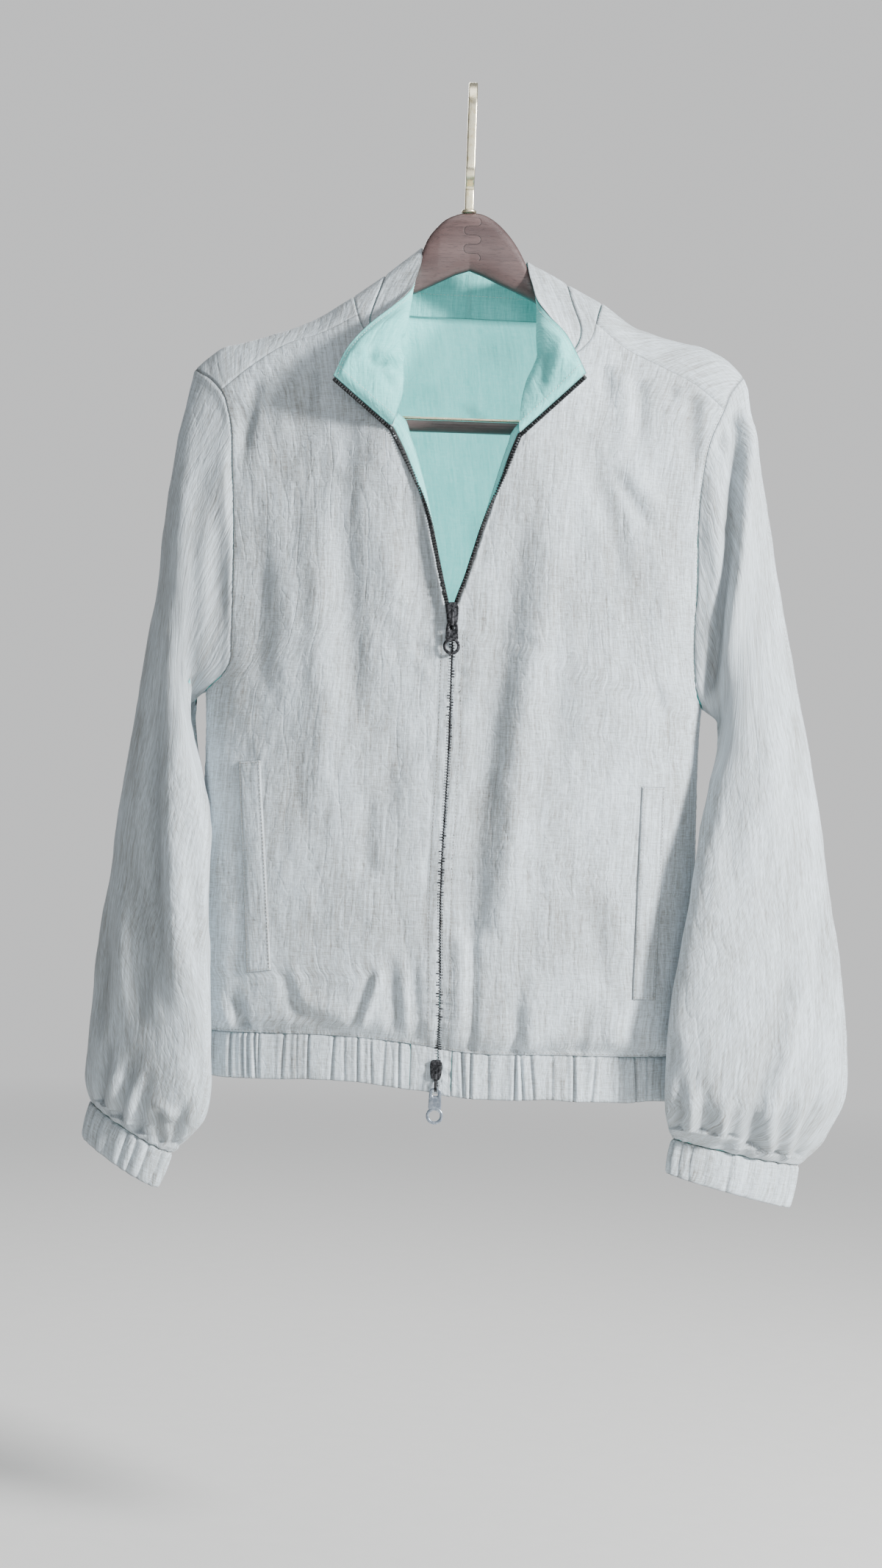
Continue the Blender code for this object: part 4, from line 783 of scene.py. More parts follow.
def cloth(name, grid, normal, nodes, colour, slot, closed=False, keep=None,
          uv=None, thick=SHELL, hollow=0.0, seams="tblr"):
    """Cloth piece: a grid as its outer face, and a thin shell behind it with the other colour inside.

    Painted shade darkens the cloth close to its sewn edges, so its seams read as fine lines; more painted
    shade may be given for its folds.
    """
    rows, cols = grid.shape[:2]
    shade = hollow + SEAM_SHADE * peak(edge_gap(grid, "tb" if closed else seams), SEAM_WIDTH)
    middle = grid[rows // 2:rows // 2 + 2, cols // 2:cols // 2 + 2]
    facing = np.cross(middle[0, 1] - middle[0, 0], middle[1, 0] - middle[0, 0])
    flip = bool(facing.dot(normal[rows // 2, cols // 2]) < 0)
    faces, plain = grid_faces(rows, cols, closed, flip, keep)
    if uv is None:
        uv = np.stack([run_of(grid, 1), -run_of(grid, 0)], axis=-1)
    points = (grid[:, :-1] if closed else grid).reshape(-1, 3)
    shade = (shade[:, :-1] if closed else shade).ravel()
    used, numbers = np.unique(faces, return_inverse=True)
    piece = new_piece(name, points[used], numbers.reshape(-1, 4), "jacket", slot, colour, nodes,
                      uv.reshape(-1, 2)[plain.ravel()], hollow=shade[used])
    wall = shell(piece, thick, -1)
    wall.material_offset, wall.material_offset_rim = 1, 0


def tube(path, half_wide, half_thick, wide_way, sides=12, square=2.0):
    """Bar along a path, with a superellipse as its section: |cos| and |sin| to the power 2 / square.

    half_wide is measured along wide_way and half_thick across it; the ends close to a point.
    """
    path = np.asarray(path, dtype=float)
    way = unit(np.gradient(path, axis=0))
    wide = unit(wide_way - way * np.sum(wide_way * way, axis=-1, keepdims=True))
    thick = np.cross(way, wide)
    c, s = (squared(wave(turns(sides)), 2 / square)[:, None] for wave in (np.cos, np.sin))
    a, b = (np.broadcast_to(half, len(path))[:, None, None] for half in (half_wide, half_thick))
    rings = path[:, None] + wide[:, None] * a * c + thick[:, None] * b * s
    ends = np.repeat(path[[0, -1], None], sides, axis=1)
    rings = np.concatenate([ends[:1], rings, ends[1:]])
    faces, _ = grid_faces(len(rings), sides + 1, closed=True)
    return rings.reshape(-1, 3), faces


def washer(outer, inner, y, thick, sides=10, square=3.0):
    """Flat ring between two outlines in x and z: a superellipse section from the outer to the inner one."""
    middle, half = (outer + inner) / 2, (outer - inner) / 2
    c, s = (squared(wave(turns(sides)), 2 / square) for wave in (np.cos, np.sin))
    flat = middle[:, None] + half[:, None] * c[:, None]
    rings = spot(flat[..., 0], y + s * thick / 2, flat[..., 1])
    r, c = np.meshgrid(np.arange(len(rings)), np.arange(sides), indexing="ij")
    next_r, next_c = (r + 1) % len(rings), (c + 1) % sides
    corners = [r * sides + c, r * sides + next_c, next_r * sides + next_c, next_r * sides + c]
    return rings.reshape(-1, 3), np.stack(corners, axis=-1).reshape(-1, 4)


def slab(outline, y, thick, rings=7, square=5.0):
    """Rounded plate from an outline in x and z: shares of it from its middle to its edge and back."""
    angle = np.linspace(-math.pi / 2, math.pi / 2, 2 * rings + 1)
    share, rise = squared(np.cos(angle), 2 / square), squared(np.sin(angle), 2 / square)
    middle = outline.mean(axis=0)
    flat = middle + (outline - middle) * np.abs(share)[:, None, None]
    points = spot(flat[..., 0], y + rise[:, None] * thick / 2, flat[..., 1])
    faces, _ = grid_faces(len(points), len(outline) + 1, closed=True)
    return points.reshape(-1, 3), faces


def joined(*shapes):
    """Several (points, faces) as one, each face array counted on from the last."""
    points, faces, start = [], [], 0
    for p, f in shapes:
        points.append(p)
        faces.append(f + start)
        start += len(p)
    return np.concatenate(points), np.concatenate(faces)


def copies(template, faces, places, ways, ups):
    """The template at many places: its x runs along ways, its z along ups, its y across both."""
    axes = np.stack([ways, np.cross(ups, ways), ups], axis=1)
    turned = places[:, None] + template @ axes
    numbers = faces[None] + (np.arange(len(places)) * len(template))[:, None, None]
    return turned.reshape(-1, 3), numbers.reshape(-1, 4)


def stitch_shape(length, radius):
    """One stitch: a tube of five sides whose ends dip to points."""
    at = np.array([-0.5, -0.42, -0.2, 0.2, 0.42, 0.5])[:, None] * length
    size = np.array([0.05, 0.7, 1, 1, 0.7, 0.05])[:, None] * radius
    drop = np.array([-0.5, -0.1, 0, 0, -0.1, -0.5])[:, None]
    angle = turns(5)
    rings = spot(at, size * np.cos(angle), drop + size * np.sin(angle))
    faces, _ = grid_faces(len(at), 6, closed=True)
    return rings.reshape(-1, 3), faces


def sampled(at, run, values):
    """Values listed at distances run along a line, read off at other distances."""
    return np.stack([np.interp(at, run, column) for column in values.T], axis=-1)


def along(line, normal, pitch, first=0.0, last=0.0):
    """Places at even distances on a line, with its directions and the surface's normals there."""
    run = run_of(line, 0)
    at = np.arange(first + pitch / 2, run[-1] - last, pitch)
    way = unit(sampled(at + 0.5, run, line) - sampled(at - 0.5, run, line))
    up = unit(sampled(at, run, normal))
    return sampled(at, run, line), way, unit(up - way * np.sum(up * way, axis=-1, keepdims=True))


def stitches(name, lines, material, slot, pitch=3.0, length=2.1, radius=0.22):
    """Rows of stitches along lines given as (points, normals), as one piece on the jacket."""
    template, faces = stitch_shape(length, radius)
    shapes = []
    for line, normal in lines:
        place, way, up = along(line, normal, pitch)
        shapes.append(copies(template, faces, place + up * 0.05, way, up))
    new_piece(name, *joined(*shapes), "jacket", slot, [material])


# ---- materials ----

class Value:
    """A socket of a material. Its operators add Math nodes."""

    def __init__(self, recipe, socket):
        self.recipe, self.socket = recipe, socket

    def _math(self, operation, first, second):
        return self.recipe.node("ShaderNodeMath", {"operation": operation}, {0: first, 1: second})

    def __add__(self, other):
        return self._math("ADD", self, other)

    def __sub__(self, other):
        return self._math("SUBTRACT", self, other)

    def __rsub__(self, other):
        return self._math("SUBTRACT", other, self)

    def __mul__(self, other):
        return self._math("MULTIPLY", self, other)

    def __truediv__(self, other):
        return self._math("DIVIDE", self, other)

    def __pow__(self, other):
        return self._math("POWER", self, other)

    def most(self, other):
        return self._math("MAXIMUM", self, other)

    def size(self):
        return self._math("ABSOLUTE", self, 0.0)

    __radd__, __rmul__ = __add__, __mul__


class Recipe:
    """Nodes of one material, ending in its Principled shader."""

    def __init__(self, name, **constants):
        self.material = bpy.data.materials.new(name)
        self.material.use_nodes = True
        self.tree = self.material.node_tree
        self.shader = self.tree.nodes["Principled BSDF"]
        for socket, value in constants.items():
            self.shader.inputs[socket.replace("_", " ")].default_value = value

    def node(self, kind, settings=None, inputs=None, out=0):
        """A node of this type: its settings first, then the values or links of its sockets."""
        made = self.tree.nodes.new(kind)
        for name, value in (settings or {}).items():
            if name == "stops":
                self.stops(made.color_ramp, value)
            else:
                setattr(made, name, value)
        for socket, value in (inputs or {}).items():
            self.feed(made.inputs[socket], value)
        return Value(self, made.outputs[out])

    def stops(self, ramp, stops):
        """Places and colours of a colour ramp."""
        while len(ramp.elements) < len(stops):
            ramp.elements.new(0.5)
        for element, (place, colour) in zip(ramp.elements, stops):
            element.position, element.color = place, (*colour, 1)

    def feed(self, socket, value):
        """Link a Value, or set a number or colour."""
        if isinstance(value, Value):
            self.tree.links.new(value.socket, socket)
        elif hasattr(value, "__len__") and len(value) == 3 and socket.type == "RGBA":
            socket.default_value = (*value, 1)
        else:
            socket.default_value = value

    def places(self, kind, scale):
        """Coordinates for a pattern: Object, or UV, which is the cloth's cut in metres."""
        source = self.node("ShaderNodeTexCoord", out=kind)
        return self.node("ShaderNodeMapping", {}, {"Vector": source, "Scale": scale})

    def noise(self, kind, scale, detail=2.0, rough=0.5):
        """Noise between 0 and 1, on coordinates of this kind, with so many cells to the metre each way."""
        return self.node("ShaderNodeTexNoise", {}, {
            "Vector": self.places(kind, scale), "Scale": 1.0, "Detail": detail, "Roughness": rough})

    def hollow(self):
        """Painted shade at each point, which its piece's attribute says: darker in seams, folds and edges."""
        return self.node("ShaderNodeAttribute", {"attribute_name": "hollow"}, out=2)

    def ramp(self, tone, *stops):
        """The colour for a tone, between stops of place and colour."""
        return self.node("ShaderNodeValToRGB", {"stops": stops}, {0: tone})

    def spread(self, value, low, high, to_low=0.0, to_high=1.0):
        """A value's range from low to high, moved to another range and held there."""
        return self.node("ShaderNodeMapRange", {}, {
            "Value": value, "From Min": low, "From Max": high, "To Min": to_low, "To Max": to_high})

    def mix(self, share, first, second):
        """Two colours mixed."""
        return self.node("ShaderNodeMix", {"data_type": "RGBA"}, {0: share, 6: first, 7: second}, out=2)

    def bump(self, height, distance, strength, normal=None):
        """Normals from a height in metres times distance, laid over other normals."""
        inputs = {"Height": height, "Distance": distance, "Strength": strength}
        if normal is not None:
            inputs["Normal"] = normal
        return self.node("ShaderNodeBump", {}, inputs)

    def finish(self, **sockets):
        """Link what varies over the surface to the shader."""
        for socket, value in sockets.items():
            self.feed(self.shader.inputs[socket.replace("_", " ")], value)
        return self.material


def linen(name, light, dark, shade, glow, thread=0.0005):
    """Plain-woven linen on the cloth's cut: uneven warp and weft threads, soft slubs, faint creases.

    A crease is where a slow noise crosses its middle: the distance from the middle, cut off close to it.
    glow is the strength of an emission of the cloth's own colour: painted light that stands in for the
    daylight coming through it.
    """
    r = Recipe(name, Sheen_Weight=0.2, Sheen_Roughness=0.4, Specular_IOR_Level=0.3, Emission_Strength=glow)
    fine = 1 / thread
    warp = r.noise("UV", (fine, fine / 14, 1), 1.0)
    weft = r.noise("UV", (fine / 11, fine, 1), 1.0)
    slub_down = r.noise("UV", (480, 24, 1), 2.0, 0.6)
    slub_over = r.noise("UV", (60, 700, 1), 2.0, 0.6)
    tall = (r.noise("UV", (36, 8, 1)) - 0.5).size()
    small = (r.noise("UV", (60, 42, 1)) - 0.5).size()
    creases = r.spread(tall, 0.0, 0.035) * 0.6 + r.spread(small, 0.0, 0.05) * 0.4
    blotch = r.noise("UV", (22, 11, 1), 3.0)
    threads = r.spread(warp, 0.28, 0.72) * 0.56 + r.spread(weft, 0.28, 0.72) * 0.44
    slubs = r.spread(slub_down, 0.28, 0.72) * 0.66 + r.spread(slub_over, 0.28, 0.72) * 0.34
    tone = threads * 0.40 + slubs * 0.42 + r.spread(blotch, 0.3, 0.7) * 0.18
    colour = r.ramp(tone, (0.2, shade), (0.46, dark), (0.68, light))
    # Painted shade: the colour darkens where the piece's attribute marks seams, folds and edges
    colour = r.mix(r.hollow(), colour, tuple(0.22 * c for c in shade))
    soft = r.bump(slubs, 0.00016, 0.8, r.bump(threads, 0.00014, 0.8))
    crush = r.noise("UV", (95, 60, 1), 4.0, 0.6)
    worn = r.bump(creases, 0.0009, 0.45, r.bump(crush, 0.0018, 0.5, soft))
    # The emission is painted light: the cloth glows in its own colour
    return r.finish(Base_Color=colour, Emission_Color=colour, Normal=worn, Roughness=0.93 - tone * 0.16)


def thread_material(name, light, dark):
    """Twisted sewing thread."""
    r = Recipe(name, Roughness=0.7, Sheen_Weight=0.2)
    twist = r.noise("Object", (900, 900, 900), 1.0)
    return r.finish(Base_Color=r.mix(twist, dark, light), Normal=r.bump(twist, 0.0001, 0.6))


def wood(name, light, middle, dark):
    """Oiled walnut: fine grain along the piece, short dark pores, a soft coat, one finger joint, and painted
    shade where the piece's attribute marks its edges.
    """
    r = Recipe(name, Coat_Roughness=0.3, Specular_IOR_Level=0.5)
    grain = r.noise("Object", (16, 230, 340), 4.0, 0.6)
    bands = r.noise("Object", (7, 26, 42), 3.0)
    pit = r.spread(r.noise("Object", (130, 2100, 2100)), 0.36, 0.44)
    tone = 0.25 + r.spread(grain, 0.25, 0.75) * 0.25 + r.spread(bands, 0.3, 0.7) * 0.3
    colour = r.ramp(tone, (0.1, dark), (0.5, middle), (0.9, light))
    line, left = finger_joint(r)
    colour = r.mix(pit * 0.5 + 0.5, dark, colour)
    colour = r.mix(left * 0.35, colour, dark)
    colour = r.mix(line, colour, (0.02, 0.011, 0.01))
    # Painted shade: near black where the piece's attribute marks the arms' edges
    colour = r.mix(r.hollow(), colour, (0.012, 0.008, 0.008))
    normal = r.bump(pit * 0.5 + grain * 0.5 - line, 0.00025, 0.7)
    return r.finish(Base_Color=colour, Roughness=r.spread(grain, 0.3, 0.7, 0.4, 0.52), Normal=normal,
                    Coat_Weight=r.spread(bands, 0.3, 0.7, 0.25, 0.4))


def finger_joint(r):
    """Dark line of the joint between the hanger's two halves, and the share that belongs to the left one.

    Each finger is a band of equal height with a round end: its line is where the distance from the
    band's middle line, run on to the centre of its end, is half the band's height. In metres.
    """
    across = r.node("ShaderNodeSeparateXYZ", {}, {0: r.places("Object", (1, 1, 1))})
    up = Value(r, across.socket.node.outputs["Z"])
    middle, low, height, band, reach = 0.0035, 0.1128, 0.1235, 0.0076, 0.0070
    count = (up + low + 11 * band) / band
    odd = r.node("ShaderNodeMath", {"operation": "FLOORED_MODULO"},
                 {0: r.node("ShaderNodeMath", {"operation": "FLOOR"}, {0: count}), 1: 2.0})
    level = (r.node("ShaderNodeMath", {"operation": "FRACT"}, {0: count}) - 0.5) * band
    outwards = (across - middle) * (odd * 2.0 - 1.0)
    ahead = (outwards - (reach - band / 2)).most(0.0)
    edge = (ahead * ahead + level * level) ** 0.5 - band / 2
    near = r.spread((up + height).size(), 0.0175, 0.0185, 1.0, 0.0)
    met = r.spread(outwards, band / 2 - reach - 0.0001, band / 2 - reach + 0.0001)
    line = r.spread(edge.size(), 0.0001, 0.0005, 0.8, 0.0) * near * met
    inside = r.spread(edge, -0.0001, 0.0001, 1.0, 0.0)
    return line, (inside * (1 - odd) + (1 - inside) * odd) * near


def brass(name):
    """Champagne brass: fine brush marks, small dark specks, softly worn."""
    r = Recipe(name, Metallic=1.0)
    marks = r.noise("Object", (1800, 1800, 130))
    specks = r.noise("Object", (260, 260, 260), 3.0)
    colour = r.mix(r.spread(specks, 0.3, 0.5), (0.84, 0.72, 0.45), (0.98, 0.90, 0.68))
    return r.finish(Base_Color=colour, Roughness=r.spread(marks, 0.3, 0.7, 0.26, 0.42),
                    Normal=r.bump(marks, 0.00006, 0.5))


def steel(name, light, dark, rough):
    """Painted zip metal: dark, a little worn to bare metal in specks."""
    r = Recipe(name, Metallic=0.85)
    worn = r.noise("Object", (420, 420, 420), 4.0, 0.65)
    cast = r.noise("Object", (1500, 1500, 1500), 1.0)
    colour = r.mix(r.spread(worn, 0.42, 0.66), dark, light)
    return r.finish(Base_Color=colour, Roughness=r.spread(worn, 0.3, 0.7, rough + 0.1, rough - 0.06),
                    Normal=r.bump(cast, 0.00008, 0.5))


def tape_cloth(name):
    """Woven zip tape: ribs along it."""
    r = Recipe(name, Roughness=0.8, Sheen_Weight=0.2)
    rib = r.noise("UV", (1400, 500, 1))
    colour = r.mix(rib, (0.012, 0.014, 0.014), (0.05, 0.055, 0.055))
    return r.finish(Base_Color=colour, Normal=r.bump(rib, 0.0002, 0.7))


STONE = linen("stone_linen", (0.665, 0.755, 0.825), (0.465, 0.515, 0.545), (0.26, 0.25, 0.23), 0.0)
# The mint linens glow, which is painted light standing in for daylight through the cloth; the back lining
# glows most
MINT = linen("mint_linen", (0.29, 0.82, 0.80), (0.22, 0.70, 0.68), (0.15, 0.57, 0.55), 0.1)
MINT_BACK_GLOWING = linen("mint_back_linen_glowing", (0.29, 0.82, 0.80), (0.22, 0.70, 0.68), (0.15, 0.57, 0.55), 1.1)
THREAD = thread_material("stone_thread", (0.42, 0.40, 0.36), (0.22, 0.205, 0.18))
MINT_THREAD = thread_material("mint_thread", (0.80, 0.92, 0.90), (0.60, 0.76, 0.73))
WALNUT = wood("walnut", (0.19, 0.125, 0.12), (0.115, 0.072, 0.070), (0.045, 0.030, 0.032))
BRASS = brass("champagne_brass")
GUNMETAL = steel("gunmetal", (0.13, 0.13, 0.14), (0.013, 0.014, 0.016), 0.4)
# The lower pull is grey metal: the grey is its own, while its blue tint and extra brightness are a painted
# reflection of the sky
PULL_GREY_PAINTED_SKY = steel("pull_grey", (0.48, 0.54, 0.62), (0.24, 0.28, 0.34), 0.34)
TAPE = tape_cloth("zip_tape")


# ---- fronts ----

def zip_shut(z):
    """0 where the zip is open and 1 from the slider down, where the two fronts nearly meet."""
    return ease((ZIP_STOP - z) / 16)


def below_neck(z):
    """0 beside the upper part of the neck seam, and 1 from just above its front corners down."""
    return ease((-z - 262) / 20)


def open_edge(side, z):
    """Edge of the open zip, which bows a little towards the middle on the left."""
    return zip_x(side, z) + (3.4 * peak(z + 352, 40) if side < 0 else 0.0)


def front_edge(side, z):
    """Front edge at the zip: beside the teeth where it is open, near the middle where it is shut."""
    z = np.asarray(z, dtype=float)
    middle = (zip_x(LEFT, z) + zip_x(RIGHT, z)) / 2
    place = spot(z, 7.3, 0)
    wavy = 0.32 * crumple(place, (13, 1, 1)) + 0.28 * crumple(place + 9, (41, 1, 1))
    together = middle + 0.4 * wavy + side * np.maximum(0.15 + 0.6 * wavy, 0.02)
    lip = 0.45 * crumple(place + side * 4, (7.5, 1, 1)) * ease((-z - 296) / 12)
    shut = zip_shut(z)
    return (open_edge(side, z) - side * lip * 0.5) * (1 - shut) + together * shut


def front_xz(side, v, q):
    """Front panel seen from the front: straight rows from the zip or neck to the armhole or side seam.

    v runs from the yoke seam down to the waistband and q from the zip outwards.
    """
    seam = yoke(side)
    zip_top, hem = ZIP[side][0][0], band_top(side * 8.0) + SEAM
    neck = neck_point(neck_station(side, v / NECK_ROWS))
    by_neck = v < NECK_ROWS
    edge_z = np.where(by_neck, neck[:, 2], zip_top + (hem - zip_top) * (v - NECK_ROWS) / (1 - NECK_ROWS))
    edge_x = np.where(by_neck, neck[:, 0], front_edge(side, edge_z))
    side_x, side_z = outer_seam(side, v, seam[-1][1], FRONT_ARM, band_top(side * 195.0))
    share = closed_up(q[None], v, FRONT_ARM)
    x = edge_x[:, None] + (side_x - edge_x)[:, None] * share
    z = edge_z[:, None] + (side_z - edge_z)[:, None] * share
    curved = through(seam, 1, x[0]) - (seam[0][1] + (seam[-1][1] - seam[0][1]) * share[0])
    z = z + curved * np.clip(1 - v / 0.12, 0, 1)[:, None]
    return x, z + ease((v - 0.8) / 0.2)[:, None] * (band_top(x) - z[-1:])


def placket(side, x, z):
    """Relief beside the zip. Where it is shut: a sunk stitch line and a puckered strip each side of it.

    The strip's height is a sine along the zip, uneven in pitch and strength. Where the zip is open, a
    raised lip runs along the edge with a groove behind it.
    """
    gap = (x - front_edge(side, z)) * side
    place = spot(z, side * 3.1, 0)
    phase = z / 9.5 + 0.5 * crumple(place, (17, 1, 1))
    strength = np.clip(0.6 + 0.7 * crumple(place + 31, (23, 1, 1)), 0.1, 1.4)
    wave = np.sin(2 * math.pi * phase) * strength
    strip = 0.9 * wave * peak(gap - 4, 3.6)
    strip = strip + 0.7 * wave * np.exp(-np.maximum(gap - 9, 0) / 9) * (gap > 4)
    lip = 0.5 * peak(gap - 1.8, 1.6) - 0.75 * peak(gap - 4.4, 0.9) + 0.55 * wave * peak(gap - 3, 4)
    shut = zip_shut(z)
    return (strip - 0.6 * peak(gap - STITCH_GAP, 1.0)) * shut + lip * (1 - shut) * below_neck(z)


def blouse(foot, height):
    """Bulge of the cloth just above the waistband, at distances foot above it."""
    return height * peak(foot - 16, 13) * ease(foot / 8)


def front_height(side, x, z):
    """Folds of a front, fading out at its seams, with a little crumple; and its placed folds alone."""
    neck = (NECK[:6] if side < 0 else NECK[-6:])[:, [3, 1]]
    inner = np.where(z > NECK_FOOT, through(neck, 1, z), front_edge(side, z))
    outer = np.where(z > UNDERARM, arm_x(side, z), side * half_width(side, z))
    foot = z - band_top(x)
    hold = ease((x - inner) * side / 9) * ease((outer - x) * side / 10)
    hold = hold * ease((through(yoke(side), 1, x) - z) / 9) * (0.25 + 0.75 * ease(foot / 6))
    placed = folds(x, z, FRONT_FOLDS[side])
    place = spot(x, 20 * side, z)
    rough = 0.7 * crumple(place, (30, 50, 60)) + 0.42 * crumple(place + 13, (11, 50, 20))
    rough = rough + 0.14 * crumple(place + 29, (6, 50, 8))
    return (placed + rough + blouse(foot, 2.2)) * hold, placed * hold


def placket_shade(side, x, z):
    """Painted shade in the line beside the zip, and in dashes where the two edges of the shut zip part."""
    gap = (x - front_edge(side, z)) * side
    dashes = ease(0.5 + 1.6 * crumple(spot(z, 0, 0), (11, 1, 1)))
    closed = 0.4 * peak(gap - STITCH_GAP, 0.8) + 0.6 * dashes * peak(gap, 0.8)
    groove = 0.35 * peak(gap - 4.2, 0.8) * below_neck(z)
    shut = zip_shut(z)
    return shut * closed + (1 - shut) * groove


def make_front(side):
    """One front panel, as its finished grid and normals."""
    name = NAME[side]
    v, q = steps(208, 1, 1), steps(106, 1, 1)
    x, z = front_xz(side, v, q)
    grid, normal = body_point(x, z, FRONT), body_normal(x, z, FRONT)
    neck = neck_point(neck_station(side, v / NECK_ROWS))
    seam = np.where((v < NECK_ROWS)[:, None], neck, grid[:, 0])[:, None]
    grid = grid + (seam - grid[:, :1]) * peak(run_of(grid, 1), MEET)[..., None]
    height, placed = front_height(side, x, z)
    height = height + placket(side, x, z) + puckers(grid, "b", 6.5, 0.9, 9, 3.0 * side)
    height = height + puckers(grid[:, ::-1], "l", 9, 0.35, 5)[:, ::-1]
    height = height + rolled(grid, "tbr", 0.6) + rolled(grid, "l", 0.6, 0.8)
    grid = grid + normal * height[..., None]
    uv = np.stack([(run_of(grid, 1) + np.abs(x[:, :1])) * side, z], axis=-1)
    # Painted shade at the bottom of deep folds, and beside the zip
    shade = TROUGH_SHADE * np.clip(-placed / 5, 0, 1) + placket_shade(side, x, z)
    cloth(f"front_panel_{name}", grid, normal, [f"front_{name}"], [STONE, MINT], "stone_linen",
          uv=uv,
          hollow=shade, seams="tbr")
    return grid, grid_normals(grid, flip=-side)


# ---- back ----

def back_shoulder(side, turn, u):
    """Back panel over one shoulder, from the armhole (u 0) to the neck (u 1), as points and normals.

    turn is 1 at the yoke seam and 0 on the crest; the drop below the crest grows with its square.
    """
    seam = yoke(side)
    seam_x = seam[-1][0] + (seam[0][0] - seam[-1][0]) * u
    inner = neck_point(back_neck_station(side, turn))
    arm_z = arm_over(side, turn)
    arm = arm_x(side, arm_z)
    x = arm[:, None] + (inner[:, 0] - arm)[:, None] * u
    drop = (through(CREST, 1, seam_x) - through(seam, 1, seam_x)) * turn[:, None]**2
    inner_miss = through(CREST, 1, inner[:, 0]) - inner[:, 2] - drop[:, -1]
    arm_miss = through(CREST, 1, arm) - arm_z - drop[:, 0]
    drop = drop + inner_miss[:, None] * u**3 + arm_miss[:, None] * (1 - u)**3
    z = through(CREST, 1, x) - drop
    ahead = (turn > 0)[:, None, None]
    grid = np.where(ahead, body_point(x, z, FRONT), body_point(x, z, BACK))
    normal = np.where(ahead, body_normal(x, z, FRONT), body_normal(x, z, BACK))
    gap = run_of(grid[:, ::-1], 1)[:, ::-1, None]
    return grid + (inner[:, None] - grid[:, -1:]) * peak(gap, MEET), normal


def back_sheet(left, middle, over, down):
    """Whole back panel: over both shoulders from the yoke seams, then down to the waistband."""
    turn = 1 - 2 * over
    u = np.linspace(0, 1, left + 1)
    grid_l, normal_l = back_shoulder(LEFT, turn, u)
    grid_r, normal_r = back_shoulder(RIGHT, turn, u)
    neck = neck_point(np.linspace(LEFT_CREST + 1, RIGHT_CREST - 1, middle + 1))[1:-1]
    up = body_normal(neck[:, 0], neck[:, 2], BACK)
    neck, up = (np.repeat(row[None], len(turn), axis=0) for row in (neck, up))
    top = np.concatenate([grid_l, neck, grid_r[:, ::-1]], axis=1)
    top_normal = np.concatenate([normal_l, up, normal_r[:, ::-1]], axis=1)
    start = top[-1]
    t = down[1:]
    (xl, zl), (xr, zr) = (outer_seam(side, t, first[2], BACK_ARM, float(band_top(side * 200.0, 1)))
                          for side, first in ((LEFT, start[0]), (RIGHT, start[-1])))
    spread = np.linspace(-1, 1, top.shape[1])[None]
    share = closed_up(spread, t, BACK_ARM)
    wide = ((xl + xr) / 2)[:, None] + ((xr - xl) / 2)[:, None] * share
    keep = 1 - ease(t / 0.45)[:, None]
    scale = np.where(spread < 0, (xl / start[0, 0])[:, None], (xr / start[-1, 0])[:, None])
    x = wide * (1 - keep) + keep * start[None, :, 0] * scale
    middle_z = start[None, :, 2] + (band_top(x, 1) - start[None, :, 2]) * t[:, None]
    edge_z = zl[:, None] + (zr - zl)[:, None] * (share + 1) / 2
    begun = ease(t / 0.12)[:, None]
    bend = np.abs(share)**3 * begun + (np.abs(spread) > 0.999) * (1 - begun)
    z = edge_z * bend + middle_z * (1 - bend)
    x[:, 0], x[:, -1] = xl, xr
    z[-1] = band_top(x[-1], 1) + SEAM
    low = body_point(x, z, BACK)
    run = run_of(np.concatenate([start[None], low]), 0)[1:]
    low = low + (start - body_point(start[:, 0], start[:, 2], BACK)) * peak(run, MEET)[..., None]
    cells = np.ones((len(top) + len(low) - 1, top.shape[1] - 1), bool)
    cells[:len(turn) - 1, left:left + middle] = False
    return np.concatenate([top, low]), np.concatenate([top_normal, body_normal(x, z, BACK)]), cells


def back_height(grid):
    """Folds of the back, with a little crumple; the yoke in front of the crest only crumples."""
    x, z = grid[..., 0], grid[..., 2]
    behind = ease(grid[..., 1] / 12)
    edge = np.where(x < 0, half_width(LEFT, z), half_width(RIGHT, z)) - np.abs(x)
    foot = z - band_top(x, 1)
    hold = ease(edge / 10) * (0.3 + 0.7 * ease(foot / 8)) * behind
    place = grid + np.array([0, 90.0, 0])
    rough = 0.6 * crumple(place, (30, 40, 60)) + 0.36 * crumple(place + 13, (11, 20, 20))
    return (folds(x, z, BACK_FOLDS) + blouse(foot, 2.0) * behind) * hold + rough * ease(edge / 8)


